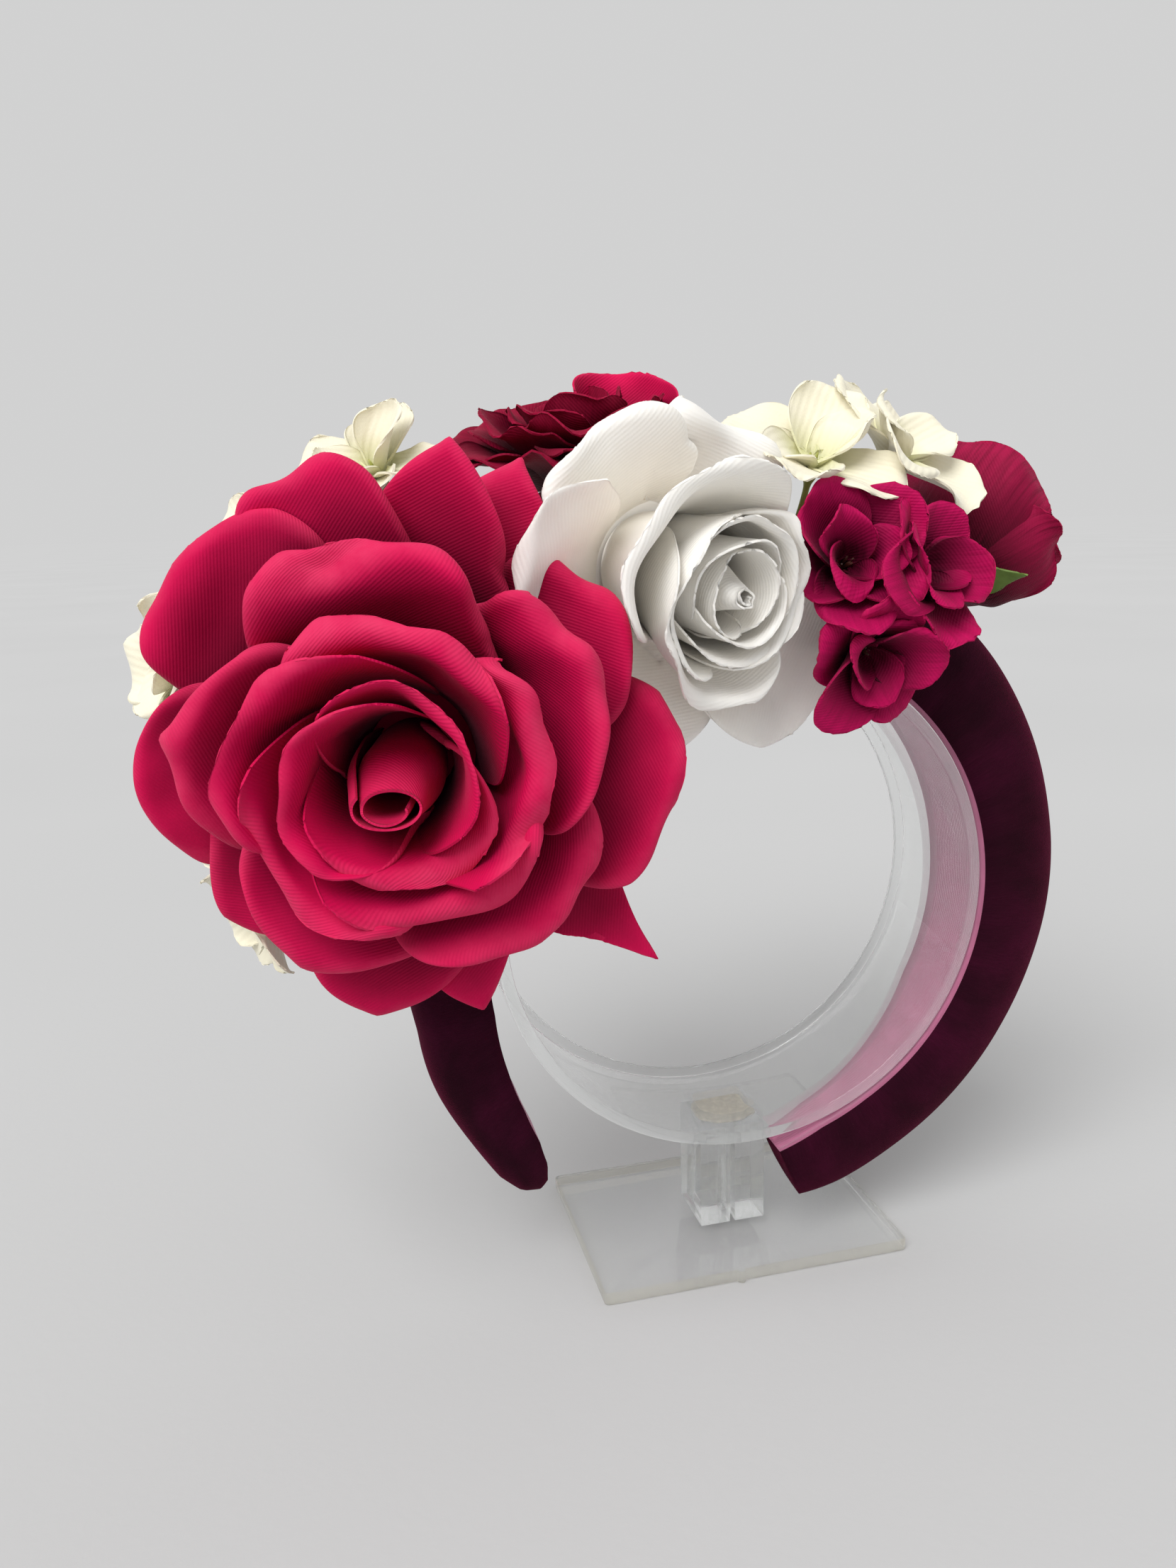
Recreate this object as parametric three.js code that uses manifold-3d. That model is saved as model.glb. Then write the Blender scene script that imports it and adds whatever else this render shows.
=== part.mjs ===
// A flower headband on its clear display stand: a padded velvet bow over an open ring, with a big
// crimson rose, a white satin rose and smaller blossoms fixed along it.
// Millimetres, +Z up. The origin lies under the middle of the base plate, and -Y is the front.
import * as THREE from 'three';
import Module from 'manifold-3d';
import { mergeVertices } from 'three/addons/utils/BufferGeometryUtils.js';

const wasm = await Module();
wasm.setup();

// Clearance between neighbours, the wall of a stiffened cloth petal, how far a petal's foot stands off
// its calyx, the shared volume that counts as a touch, the distance at which corners are one, the step
// that measures a wall's slope, and how steep an axis is when its clock no longer starts at the top
const GAP = 0.35;
const CLOTH = 1.0;
const FOOT_RISE = 0.5;
const TOUCH = 0.002;
const WELD = 1e-4;
const NUDGE = 1e-3;
const STEEP = 0.9;

// Clear stand
const BASE = { width: 78, depth: 54, thickness: 3 };
const RING = { outer: 60, wall: 3, depth: 37.8, centre: 91.5, facets: 48 };
const POST = { width: 17, depth: 16, slotWidth: 1.2, slotDepth: 5 };
const GLUE = { width: 15, depth: 13, thickness: 0.7 };

// Velvet bow: sections from the right end over the top to the left tip
const BAND_CORNER = 3.2;
const BAND_STEPS = 38;
const BAND_ARC_POINTS = 9;
const BAND_ROWS = table('angle inner thick front back', [
  [-83, 63.8, 15.6, -19.8, -9.0],
  [-72, 61.4, 18.6, -20.0, -7.0],
  [-60, 60.8, 19.5, -20.0, -5.0],
  [-30, 60.7, 21.5, -20.0, 3.0],
  [5, 60.7, 23.5, -20.0, 6.0],
  [45, 60.7, 24.0, -20.0, 8.0],
  [90, 60.7, 23.0, -20.0, 9.0],
  [135, 60.7, 21.5, -20.0, 8.0],
  [178, 60.8, 19.2, -20.0, 5.0],
  [197, 63.5, 17.4, -20.0, 0.0],
  [209, 66.7, 16.6, -19.8, -4.0],
  [218, 69.6, 15.4, -19.5, -6.5],
  [225, 72.8, 13.6, -19.0, -8.0],
  [229.5, 76.4, 9.6, -18.0, -9.5],
  [232, 80.2, 3.6, -16.0, -11.5],
]);

// Under a flower: edge of the cup, stem's share of the neck, and facets round it
const CALYX = { rim: 1, stem: 0.8, facets: 14 };
const STEM = { steps: 4, curveSegments: 3 };

// Petal outlines: width of the tip, drop of its corners and how sharply they fall away
const FOOT_RATIO = 0.22;
const WIDEST = 0.6;
const SKEW_START = 0.3;
const DROP_RISE = 1.5;
const FOLD_SOFTNESS = 0.6;
const FOLD_LIMIT = 60;
const OUTLINES = {
  round: { tip: 0.66, drop: 0.2, power: 2.0 },
  point: { tip: 0.6, drop: 0.32, power: 1.4 },
  spear: { tip: 0.44, drop: 0.24, power: 1.4 },
  square: { tip: 0.86, drop: 0.1, power: 2.4 },
};
const PETAL_GRID = { across: 5, along: 4 };
const BLOSSOM_GRID = { across: 2, along: 2 };
const HEART_GRID = { across: 20, along: 2 };

const CRIMSON = { color: 0xb0103c, roughness: 0.75 };
const DARK_CRIMSON = { color: 0x7c0b2a, roughness: 0.75 };
const SATIN = { color: 0xf1efec, roughness: 0.4 };
const IVORY = { color: 0xece8cf, roughness: 0.7 };
const RASPBERRY = { color: 0x9e1240, roughness: 0.75 };
const GREEN = { color: 0x6f8f3c, roughness: 0.7 };
const VELVET = { color: 0x3a0418, roughness: 0.9 };
const CLEAR = { color: 0xf2f4f4, roughness: 0.06 };
const CLOUDY = { color: 0xd8d2bd, roughness: 0.5 };

// Rose petals, from the heart outwards. turn is a clock angle seen from the front of the flower,
// foot the radius where the petal starts, lean the slope away from the flower's axis at foot and tip,
// cup the radius by which it is hollowed more than a cone round the axis, skew how far one edge tucks
// under, roll the radius of the turned lip, fold the place along the petal where that lip starts, and
// slant how far the lip runs down the sides.
const PETAL_COLUMNS = 'name turn foot length width leanFoot leanTip cup skew roll fold slant outline';
const BIG_ROSE = {
  name: 'big_rose',
  origin: [-75.5, -25, 135.5],
  axis: [-0.23, -0.97, -0.01],
  heart: { height: 42, start: 2.0, pitch: 2.1, turns: 1.6, flare: 0.1 },
  calyx: { radius: 21, depth: 12, neck: 4.5 },
  anchor: { angle: 147, y: -9 },
  petals: table(PETAL_COLUMNS, [
    ['core_1', 30, 9.2, 43, 30, 3, 14, 400, 2.0, 4.0, 0.93, 6, 'round'],
    ['core_2', 150, 9.2, 41, 30, 3, 14, 400, 2.0, 4.0, 0.93, 6, 'round'],
    ['core_3', 270, 9.2, 42, 30, 3, 14, 400, 2.0, 4.0, 0.93, 6, 'round'],
    ['inner_1', 5, 13, 43, 42, 7, 32, 300, 2.7, 4.2, 0.87, 15, 'round'],
    ['inner_2', 77, 13, 42, 42, 7, 32, 300, 2.7, 4.2, 0.87, 15, 'round'],
    ['inner_3', 149, 13, 41, 42, 7, 32, 300, 2.7, 4.2, 0.87, 15, 'round'],
    ['inner_4', 221, 13, 41, 42, 7, 32, 300, 2.7, 4.2, 0.87, 15, 'round'],
    ['inner_5', 293, 13, 42, 42, 7, 32, 300, 2.7, 4.2, 0.87, 15, 'round'],
    ['middle_1', 352, 16.6, 40, 44, 24, 62, 160, 3.4, 4.8, 0.8, 27, 'point'],
    ['middle_2', 64, 16.6, 40, 44, 24, 62, 160, 3.4, 4.8, 0.8, 24, 'round'],
    ['middle_3', 138, 16.6, 40, 44, 24, 62, 160, 3.4, 4.8, 0.8, 24, 'round'],
    ['middle_4', 209, 16.6, 40, 44, 24, 62, 160, 3.4, 4.8, 0.8, 27, 'point'],
    ['middle_5', 280, 16.6, 42, 44, 24, 62, 160, 3.4, 4.8, 0.8, 27, 'point'],
    ['outer_1', 8, 20.2, 45, 36, 58, 84, 120, 3.8, 5.1, 0.86, 29, 'point'],
    ['outer_2', 54, 20.2, 33, 38, 58, 84, 120, 3.8, 5.1, 0.86, 24, 'round'],
    ['outer_3', 98, 20.2, 36, 40, 58, 84, 120, 3.8, 5.1, 0.86, 18, 'square'],
    ['outer_4', 133, 20.2, 47, 19, 76, 94, 120, 1.5, 5.1, 0.96, 12, 'spear'],
    ['outer_5', 184, 20.2, 38, 38, 58, 84, 120, 3.8, 5.1, 0.86, 29, 'point'],
    ['outer_6', 226, 20.2, 37, 38, 58, 84, 120, 3.8, 5.1, 0.86, 29, 'point'],
    ['outer_7', 264, 20.2, 35, 38, 58, 84, 120, 3.8, 5.1, 0.86, 24, 'round'],
    ['outer_8', 318, 20.2, 40, 42, 58, 84, 120, 3.8, 5.1, 0.86, 18, 'square'],
  ]),
  color: CRIMSON,
};
const WHITE_ROSE = {
  name: 'white_rose',
  origin: [-24.5, -19, 170],
  axis: [0.36, -0.92, -0.16],
  heart: { height: 31, start: 1.2, pitch: 1.8, turns: 1.1, flare: 0.1 },
  calyx: { radius: 14, depth: 9, neck: 3.5 },
  anchor: { angle: 110, y: -4 },
  petals: table(PETAL_COLUMNS, [
    ['core_1', 60, 6.4, 32, 23, 3, 12, 400, 1.8, 3.5, 0.93, 6, 'round'],
    ['core_2', 240, 6.4, 31, 23, 3, 12, 400, 1.8, 3.5, 0.93, 6, 'round'],
    ['inner_1', 20, 9.8, 31, 30, 9, 34, 300, 2.4, 3.5, 0.86, 15, 'round'],
    ['inner_2', 140, 9.8, 31, 30, 9, 34, 300, 2.4, 3.5, 0.86, 15, 'round'],
    ['inner_3', 260, 9.8, 31, 30, 9, 34, 300, 2.4, 3.5, 0.86, 15, 'round'],
    ['outer_1', 335, 13.2, 29, 30, 42, 76, 140, 3.0, 3.8, 0.86, 21, 'round'],
    ['outer_2', 47, 13.2, 27, 30, 42, 76, 140, 3.0, 3.8, 0.86, 21, 'round'],
    ['outer_3', 124, 13.2, 33, 28, 42, 76, 140, 3.0, 3.8, 0.86, 18, 'square'],
    ['outer_4', 191, 13.2, 30, 28, 42, 76, 140, 3.0, 3.8, 0.86, 27, 'point'],
    ['outer_5', 263, 13.2, 27, 30, 42, 76, 140, 3.0, 3.8, 0.86, 21, 'round'],
  ]),
  color: SATIN,
};
const RASPBERRY_BUD = {
  name: 'raspberry_bud',
  origin: [57, 7, 162],
  axis: [0.72, 0.2, 0.66],
  calyx: { radius: 6.5, depth: 7, neck: 2.6 },
  anchor: { angle: 56, y: 2 },
  petals: table(PETAL_COLUMNS, [
    ['petal_1', 20, 3.2, 30, 13, 4, 12, 400, 1.2, 4.0, 0.95, 6, 'round'],
    ['petal_2', 80, 5.4, 31, 27, 14, 36, 200, 2.2, 4.0, 0.92, 15, 'round'],
    ['petal_3', 200, 5.4, 31, 27, 14, 36, 200, 2.2, 4.0, 0.92, 15, 'round'],
    ['petal_4', 320, 5.4, 31, 27, 14, 36, 200, 2.2, 4.0, 0.92, 15, 'round'],
  ]),
  color: RASPBERRY,
};
const BUD_SEPAL = table(PETAL_COLUMNS, [['sepal', 265, 6.3, 16, 9, 62, 80, 200, 0, 5, 0.98, 0, 'point']]);

// Ruffled cups of the dark flower, nested from the heart outwards
const DARK_FLOWER = {
  name: 'dark_flower',
  origin: [-32, 6, 187],
  axis: [-0.12, -0.14, 0.98],
  calyx: { radius: 10, depth: 9, neck: 3.5 },
  anchor: { angle: 117, y: 0 },
  facets: 20,
  rows: 2,
  cups: table('name foot length leanFoot leanTip lobes ripple', [
    ['heart', 2.4, 19, 4, 20, 4, 0.5],
    ['whorl_1', 4.8, 21, 10, 42, 5, 0.9],
    ['whorl_2', 7.2, 22, 28, 64, 6, 1.6],
    ['whorl_3', 9.4, 22, 46, 88, 6, 2.2],
  ]),
};

// Die-cut blossoms: centre, facing direction, petal length and count, and where the stem meets the bow
const BLOSSOM_COLUMNS = 'name x y z ax ay az petal count turn lean angle seat color';
const BLOSSOM = {
  foot: 2.2, ratio: 0.86, cup: 30, open: 24, skew: 1.2, roll: 3, fold: 0.97, slant: 0,
  stem: 0.9, button: 3.6, back: 9, sunk: 0.5,
};
const BLOSSOMS = table(BLOSSOM_COLUMNS, [
  ['ivory_blossom_1', 15, -16, 191, -0.1, -0.7, 0.7, 20, 4, 25, 58, 80, -6, IVORY],
  ['ivory_blossom_2', 36, -10, 190, 0.4, -0.5, 0.75, 21, 4, 62, 60, 70, -4, IVORY],
  ['ivory_blossom_3', -77, 2, 190, -0.3, -0.5, 0.8, 18, 4, 0, 55, 128, 2, IVORY],
  ['ivory_blossom_4', -101, 2, 172, -0.75, -0.4, 0.5, 18, 4, 40, 60, 139, 2, IVORY],
  ['ivory_blossom_5', -119, -2, 150, -0.9, -0.4, 0.15, 18, 4, 10, 60, 153, 0, IVORY],
  ['ivory_blossom_6', -107, -4, 100, -0.75, -0.35, -0.55, 18, 4, 30, 60, 170, -4, IVORY],
  ['crimson_blossom_1', 18, -25, 169, -0.1, -0.9, 0.4, 15, 5, 10, 36, 74, -12, CRIMSON],
  ['crimson_blossom_2', 37, -29, 163, 0.5, -0.85, 0.2, 15, 5, 40, 36, 62, -12, CRIMSON],
  ['crimson_blossom_3', 21, -27, 149, 0.0, -0.9, -0.4, 15, 5, 0, 36, 67, -15, CRIMSON],
]);

function table(columns, rows) {
  const names = columns.split(' ');
  return rows.map((row) => Object.fromEntries(names.map((name, i) => [name, row[i]])));
}

function rad(degrees) {
  return THREE.MathUtils.degToRad(degrees);
}

// Joining and cutting
function solidOf(geometry) {
  const bare = geometry.clone();
  bare.deleteAttribute('normal');
  bare.deleteAttribute('uv');
  const merged = mergeVertices(bare, WELD);
  const vertProperties = new Float32Array(merged.attributes.position.array);
  const triVerts = new Uint32Array(merged.index.array);
  return new wasm.Manifold(new wasm.Mesh({ numProp: 3, vertProperties, triVerts }));
}

function geometryOf(solid) {
  const { vertProperties, triVerts } = solid.getMesh();
  const geometry = new THREE.BufferGeometry();
  geometry.setAttribute('position', new THREE.BufferAttribute(new Float32Array(vertProperties), 3));
  geometry.setIndex(new THREE.BufferAttribute(new Uint32Array(triVerts), 1));
  geometry.computeVertexNormals();
  return geometry;
}

function largestBody(solid) {
  return solid.decompose().sort((a, b) => b.volume() - a.volume())[0];
}

function boxesMeet(a, b) {
  const first = a.boundingBox();
  const second = b.boundingBox();
  return [0, 1, 2].every((i) => first.min[i] < second.max[i] && second.min[i] < first.max[i]);
}

// -1 on the first of a row of points, 1 on the last and 0 between them
function edge(index, last) {
  return Number(index === last) - Number(index === 0);
}

// A closed wall around point(across, along). across runs over span, along from 0 to 1, and the outermost
// rows lie further out by the margins.
function wallGeometry(point, grid, span, margin, thickness, closedRound = false) {
  const columns = closedRound ? grid.across : grid.across + 1;
  const rows = grid.along + 1;
  const front = [];
  const back = [];
  for (let j = 0; j < rows; j += 1) {
    for (let i = 0; i < columns; i += 1) {
      const u = THREE.MathUtils.lerp(...span, i / grid.across) + margin.across * edge(i, grid.across);
      const v = j / grid.along + margin.along * edge(j, grid.along);
      const middle = point(u, v);
      const alongU = point(u + NUDGE, v).sub(point(u - NUDGE, v));
      const alongV = point(u, v + NUDGE).sub(point(u, v - NUDGE));
      const offset = alongU.cross(alongV).normalize().multiplyScalar(thickness / 2);
      front.push(middle.clone().add(offset));
      back.push(middle.clone().sub(offset));
    }
  }
  const count = front.length;
  const at = (i, j) => j * columns + (i % columns);
  const faces = [];
  const quad = (a, b, c, d) => faces.push(a, b, c, a, c, d);
  for (let j = 0; j < grid.along; j += 1) {
    for (let i = 0; i < grid.across; i += 1) {
      const [a, b, c, d] = [at(i, j), at(i + 1, j), at(i + 1, j + 1), at(i, j + 1)];
      quad(a, b, c, d);
      quad(count + d, count + c, count + b, count + a);
    }
  }
  for (let i = 0; i < grid.across; i += 1) {
    const [a, b] = [at(i, 0), at(i + 1, 0)];
    quad(count + a, count + b, b, a);
    const [c, d] = [at(i, grid.along), at(i + 1, grid.along)];
    quad(c, d, count + d, count + c);
  }
  for (let j = 0; !closedRound && j < grid.along; j += 1) {
    const [a, b] = [at(0, j), at(0, j + 1)];
    quad(a, b, count + b, count + a);
    const [c, d] = [at(grid.across, j), at(grid.across, j + 1)];
    quad(count + c, count + d, d, c);
  }
  const geometry = new THREE.BufferGeometry();
  const corners = [...front, ...back].flatMap((corner) => corner.toArray());
  geometry.setAttribute('position', new THREE.Float32BufferAttribute(corners, 3));
  geometry.setIndex(faces);
  return geometry;
}

// Slope line of a petal in the plane through the flower's axis: radius, height and lean at a place.
function slopeLine(petal, distance) {
  const start = rad(petal.leanFoot);
  const turn = rad(petal.leanTip) - start;
  const lean = start + turn * (distance / petal.length);
  const bend = petal.length / turn;
  return {
    radius: petal.foot + bend * (Math.cos(start) - Math.cos(lean)),
    height: FOOT_RISE + (CLOTH / 2) * Math.sin(start) + bend * (Math.sin(lean) - Math.sin(start)),
    lean,
  };
}

// A point of a petal's middle layer in its flower's own frame: X to the right, Y up, Z along the axis.
function petalPoint(petal, across, along) {
  const outline = OUTLINES[petal.outline];
  const place = THREE.MathUtils.clamp(along, 0, 1);
  const closing = Math.max(0, (place - WIDEST) / (1 - WIDEST));
  const opening = Math.sin((Math.PI / 2) * Math.min(1, place / WIDEST));
  const spread = FOOT_RATIO + (1 - FOOT_RATIO) * opening - (1 - outline.tip) * closing ** 2;
  const half = (petal.width / 2) * spread;
  let x = across * half;
  const drop = outline.drop * Math.abs(across) ** outline.power * Math.max(0, along) ** DROP_RISE;
  let y = petal.length * (along - drop);
  let lift = petal.skew * across * Math.min(1, place / SKEW_START);
  const side = THREE.MathUtils.clamp(x / (FOLD_SOFTNESS * (petal.width / 2)), -1, 1);
  const facing = rad(petal.slant) * side;
  const past = x * Math.sin(facing) + (y - petal.length * petal.fold) * Math.cos(facing);
  if (past > 0) {
    const angle = Math.min(past / petal.roll, rad(FOLD_LIMIT));
    const rest = past - angle * petal.roll;
    const reach = petal.roll * Math.sin(angle) + rest * Math.cos(angle);
    x += Math.sin(facing) * (reach - past);
    y += Math.cos(facing) * (reach - past);
    lift -= petal.roll * (1 - Math.cos(angle)) + rest * Math.sin(angle);
  }
  const { radius, height, lean } = slopeLine(petal, y);
  const cup = 1 / (Math.cos(lean) / radius + 1 / petal.cup);
  const sideways = cup * Math.sin(x / cup);
  const inward = cup * (1 - Math.cos(x / cup)) + lift;
  const outwards = radius - Math.cos(lean) * inward;
  const turn = rad(petal.turn);
  return new THREE.Vector3(
    outwards * Math.sin(turn) + sideways * Math.cos(turn),
    outwards * Math.cos(turn) - sideways * Math.sin(turn),
    height + Math.sin(lean) * inward,
  );
}

function petalGeometry(petal, grow, grid = PETAL_GRID) {
  const margin = { across: (2 * grow) / petal.width, along: grow / petal.length };
  return wallGeometry((u, v) => petalPoint(petal, u, v), grid, [-1, 1], margin, CLOTH + 2 * grow);
}

// The rolled heart of a rose: one strip wound round the axis, opening a little at the top.
function heartGeometry(heart, grow) {
  const margin = { across: 0, along: grow / heart.height };
  const point = (u, v) => {
    const angle = 2 * Math.PI * heart.turns * u;
    const radius = (heart.start + heart.pitch * heart.turns * u) * (1 + heart.flare * v * v);
    const height = FOOT_RISE + heart.height * v;
    return new THREE.Vector3(radius * Math.cos(angle), -radius * Math.sin(angle), height);
  };
  return wallGeometry(point, HEART_GRID, [0, 1], margin, CLOTH + 2 * grow);
}

function cupGeometry(cup, grow) {
  const point = (u, v) => {
    const { radius, height } = slopeLine(cup, cup.length * v);
    const angle = 2 * Math.PI * u;
    const wave = Math.sin(cup.lobes * angle) * cup.ripple * v;
    const reach = radius + wave;
    return new THREE.Vector3(reach * Math.sin(angle), reach * Math.cos(angle), height + wave);
  };
  const margin = { across: 0, along: grow / cup.length };
  const grid = { across: DARK_FLOWER.facets, along: DARK_FLOWER.rows };
  return wallGeometry(point, grid, [0, 1], margin, CLOTH + 2 * grow, true);
}

// Placing a flower: its axis points out of its face, and its clock's twelve points up.
function flowerMatrix(origin, axis) {
  const facing = new THREE.Vector3(...axis).normalize();
  const above = Math.abs(facing.z) > STEEP ? new THREE.Vector3(0, 1, 0) : new THREE.Vector3(0, 0, 1);
  const up = above.addScaledVector(facing, -above.dot(facing)).normalize();
  const right = up.clone().cross(facing);
  return new THREE.Matrix4().makeBasis(right, up, facing).setPosition(...origin);
}

// The bow's section at an angle round the ring, and its outer surface
function bandRow(angle) {
  const next = Math.max(1, BAND_ROWS.findIndex((row) => row.angle >= angle));
  const [low, high] = [BAND_ROWS[next - 1], BAND_ROWS[next]];
  const part = (angle - low.angle) / (high.angle - low.angle);
  const mix = (key) => THREE.MathUtils.lerp(low[key], high[key], part);
  return { inner: mix('inner'), thick: mix('thick'), front: mix('front'), back: mix('back') };
}

function bandPoint(angle, radius, y) {
  return new THREE.Vector3(radius * Math.cos(rad(angle)), y, RING.centre + radius * Math.sin(rad(angle)));
}

function bandSurface(angle, y) {
  const { inner, thick, front, back } = bandRow(angle);
  const off = Math.abs((2 * y - front - back) / (back - front));
  const dome = Math.max(0, 1 - off ** BAND_CORNER) ** (1 / BAND_CORNER);
  return bandPoint(angle, inner + thick * dome, y);
}

function bandGeometry(grow) {
  const first = BAND_ROWS[0].angle;
  const last = BAND_ROWS[BAND_ROWS.length - 1].angle;
  const vertices = [];
  const faces = [];
  for (let s = 0; s <= BAND_STEPS; s += 1) {
    const angle = THREE.MathUtils.lerp(first, last, s / BAND_STEPS);
    const { inner, thick, front, back } = bandRow(angle);
    const middle = (front + back) / 2;
    const half = (back - front) / 2 + grow;
    for (let i = 0; i < BAND_ARC_POINTS; i += 1) {
      const turn = (Math.PI * i) / (BAND_ARC_POINTS - 1);
      const y = middle - half * Math.sign(Math.cos(turn)) * Math.abs(Math.cos(turn)) ** (2 / BAND_CORNER);
      const rise = (thick + grow) * Math.sin(turn) ** (2 / BAND_CORNER);
      vertices.push(...bandPoint(angle, inner + rise, y).toArray());
    }
  }
  const at = (s, i) => s * BAND_ARC_POINTS + i;
  for (let s = 0; s < BAND_STEPS; s += 1) {
    for (let i = 0; i < BAND_ARC_POINTS; i += 1) {
      const j = (i + 1) % BAND_ARC_POINTS;
      faces.push(at(s, i), at(s, j), at(s + 1, j), at(s, i), at(s + 1, j), at(s + 1, i));
    }
  }
  for (let i = 1; i < BAND_ARC_POINTS - 1; i += 1) {
    faces.push(at(0, 0), at(0, i + 1), at(0, i));
    faces.push(at(BAND_STEPS, 0), at(BAND_STEPS, i), at(BAND_STEPS, i + 1));
  }
  const geometry = new THREE.BufferGeometry();
  geometry.setAttribute('position', new THREE.Float32BufferAttribute(vertices, 3));
  geometry.setIndex(faces);
  return geometry;
}

// A round wire or stem along a curve
function stemGeometry(from, towards, to, radius) {
  const circle = new THREE.Shape().absarc(0, 0, radius, 0, 2 * Math.PI);
  const extrudePath = new THREE.QuadraticBezierCurve3(from, towards, to);
  return new THREE.ExtrudeGeometry(circle, { extrudePath, ...STEM, bevelEnabled: false });
}

// Calyx: a shallow cup under the petals that narrows to a neck, with a stem that bends to the bow
function calyxSolid(flower, grow) {
  const { radius, depth, neck } = flower.calyx;
  const profile = [
    [0, grow],
    [radius + grow, grow],
    [radius + grow, -CALYX.rim - grow],
    [neck + grow, -depth],
    [0, -depth - grow],
  ].map(([x, y]) => new THREE.Vector2(x, y)).reverse();
  const matrix = flowerMatrix(flower.origin, flower.axis);
  const cup = new THREE.LatheGeometry(profile, CALYX.facets).rotateX(Math.PI / 2).applyMatrix4(matrix);
  const from = new THREE.Vector3(0, 0, -depth / 2).applyMatrix4(matrix);
  const towards = new THREE.Vector3(0, 0, -depth - neck).applyMatrix4(matrix);
  const seat = bandSurface(flower.anchor.angle, flower.anchor.y);
  return solidOf(cup).add(solidOf(stemGeometry(from, towards, seat, neck * CALYX.stem + grow)));
}

// A blossom: its petals, a button in the middle and a wire that runs back and down to the bow
function blossomSolid(row, grow) {
  const axis = [row.ax, row.ay, row.az];
  const matrix = flowerMatrix([row.x, row.y, row.z], axis);
  const behind = new THREE.Vector3(0, 0, -BLOSSOM.back).applyMatrix4(matrix);
  const centre = new THREE.Vector3(0, 0, BLOSSOM.sunk).applyMatrix4(matrix);
  const seat = bandSurface(row.angle, row.seat);
  let solid = solidOf(stemGeometry(centre, behind, seat, BLOSSOM.stem + grow));
  const button = new THREE.IcosahedronGeometry(BLOSSOM.button + grow).applyMatrix4(matrix);
  solid = solid.add(solidOf(button));
  for (let i = 0; i < row.count; i += 1) {
    const petal = {
      ...BLOSSOM,
      turn: row.turn + (360 * i) / row.count,
      length: row.petal,
      width: row.petal * BLOSSOM.ratio,
      leanFoot: row.lean,
      leanTip: row.lean + BLOSSOM.open,
      outline: 'round',
    };
    solid = solid.add(solidOf(petalGeometry(petal, grow, BLOSSOM_GRID).applyMatrix4(matrix)));
  }
  return solid;
}

// Stand
function baseGeometry() {
  const plate = new THREE.BoxGeometry(BASE.width, BASE.depth, BASE.thickness);
  return plate.translate(0, 0, BASE.thickness / 2);
}

function ringGeometry() {
  const inner = RING.outer - RING.wall;
  const end = RING.depth / 2;
  const profile = [[inner, -end], [RING.outer, -end], [RING.outer, end], [inner, end], [inner, -end]];
  const points = profile.map(([x, y]) => new THREE.Vector2(x, y));
  return new THREE.LatheGeometry(points, RING.facets).translate(0, 0, RING.centre);
}

function postGeometry() {
  const [x, y] = [POST.width / 2, POST.depth / 2];
  const [slot, floor] = [POST.slotWidth / 2, POST.depth / 2 - POST.slotDepth];
  const outline = new THREE.Shape();
  outline.moveTo(-x, -y).lineTo(-slot, -y).lineTo(-slot, -floor).lineTo(slot, -floor).lineTo(slot, -y);
  outline.lineTo(x, -y).lineTo(x, y).lineTo(slot, y).lineTo(slot, floor).lineTo(-slot, floor);
  outline.lineTo(-slot, y).lineTo(-x, y).closePath();
  const bottom = BASE.thickness + GAP;
  const top = RING.centre - RING.outer - 2 * GAP - GLUE.thickness;
  const block = new THREE.ExtrudeGeometry(outline, { depth: top - bottom, bevelEnabled: false });
  return block.translate(0, 0, bottom);
}

function glueGeometry() {
  const pad = new THREE.BoxGeometry(GLUE.width, GLUE.depth, GLUE.thickness);
  return pad.translate(0, 0, RING.centre - RING.outer - GAP - GLUE.thickness / 2);
}

// All pieces in the order in which later ones make room for earlier ones
const pieces = [];
function addPiece(name, color, make) {
  pieces.push({ name, color, make });
}

function addFlower(flower) {
  const matrix = flowerMatrix(flower.origin, flower.axis);
  const inPlace = (geometry) => solidOf(geometry.applyMatrix4(matrix));
  addPiece(`${flower.name}_calyx`, GREEN, (grow) => calyxSolid(flower, grow));
  if (flower.heart) {
    addPiece(`${flower.name}_heart`, flower.color, (grow) => inPlace(heartGeometry(flower.heart, grow)));
  }
  flower.petals.forEach((petal) => {
    addPiece(`${flower.name}_${petal.name}`, flower.color, (grow) => inPlace(petalGeometry(petal, grow)));
  });
}

addPiece('stand_base', CLEAR, () => solidOf(baseGeometry()));
addPiece('stand_post', CLEAR, () => solidOf(postGeometry()));
addPiece('stand_glue', CLOUDY, () => solidOf(glueGeometry()));
addPiece('stand_ring', CLEAR, () => solidOf(ringGeometry()));
addPiece('velvet_band', VELVET, (grow) => solidOf(bandGeometry(grow)));
addFlower(BIG_ROSE);
addFlower(WHITE_ROSE);
addFlower({ ...DARK_FLOWER, petals: [], color: DARK_CRIMSON });
DARK_FLOWER.cups.forEach((cup) => {
  const matrix = flowerMatrix(DARK_FLOWER.origin, DARK_FLOWER.axis);
  const make = (grow) => solidOf(cupGeometry(cup, grow).applyMatrix4(matrix));
  addPiece(`${DARK_FLOWER.name}_${cup.name}`, DARK_CRIMSON, make);
});
addFlower(RASPBERRY_BUD);
BUD_SEPAL.forEach((sepal) => {
  const matrix = flowerMatrix(RASPBERRY_BUD.origin, RASPBERRY_BUD.axis);
  const make = (grow) => solidOf(petalGeometry(sepal, grow).applyMatrix4(matrix));
  addPiece(`${RASPBERRY_BUD.name}_${sepal.name}`, GREEN, make);
});
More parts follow.
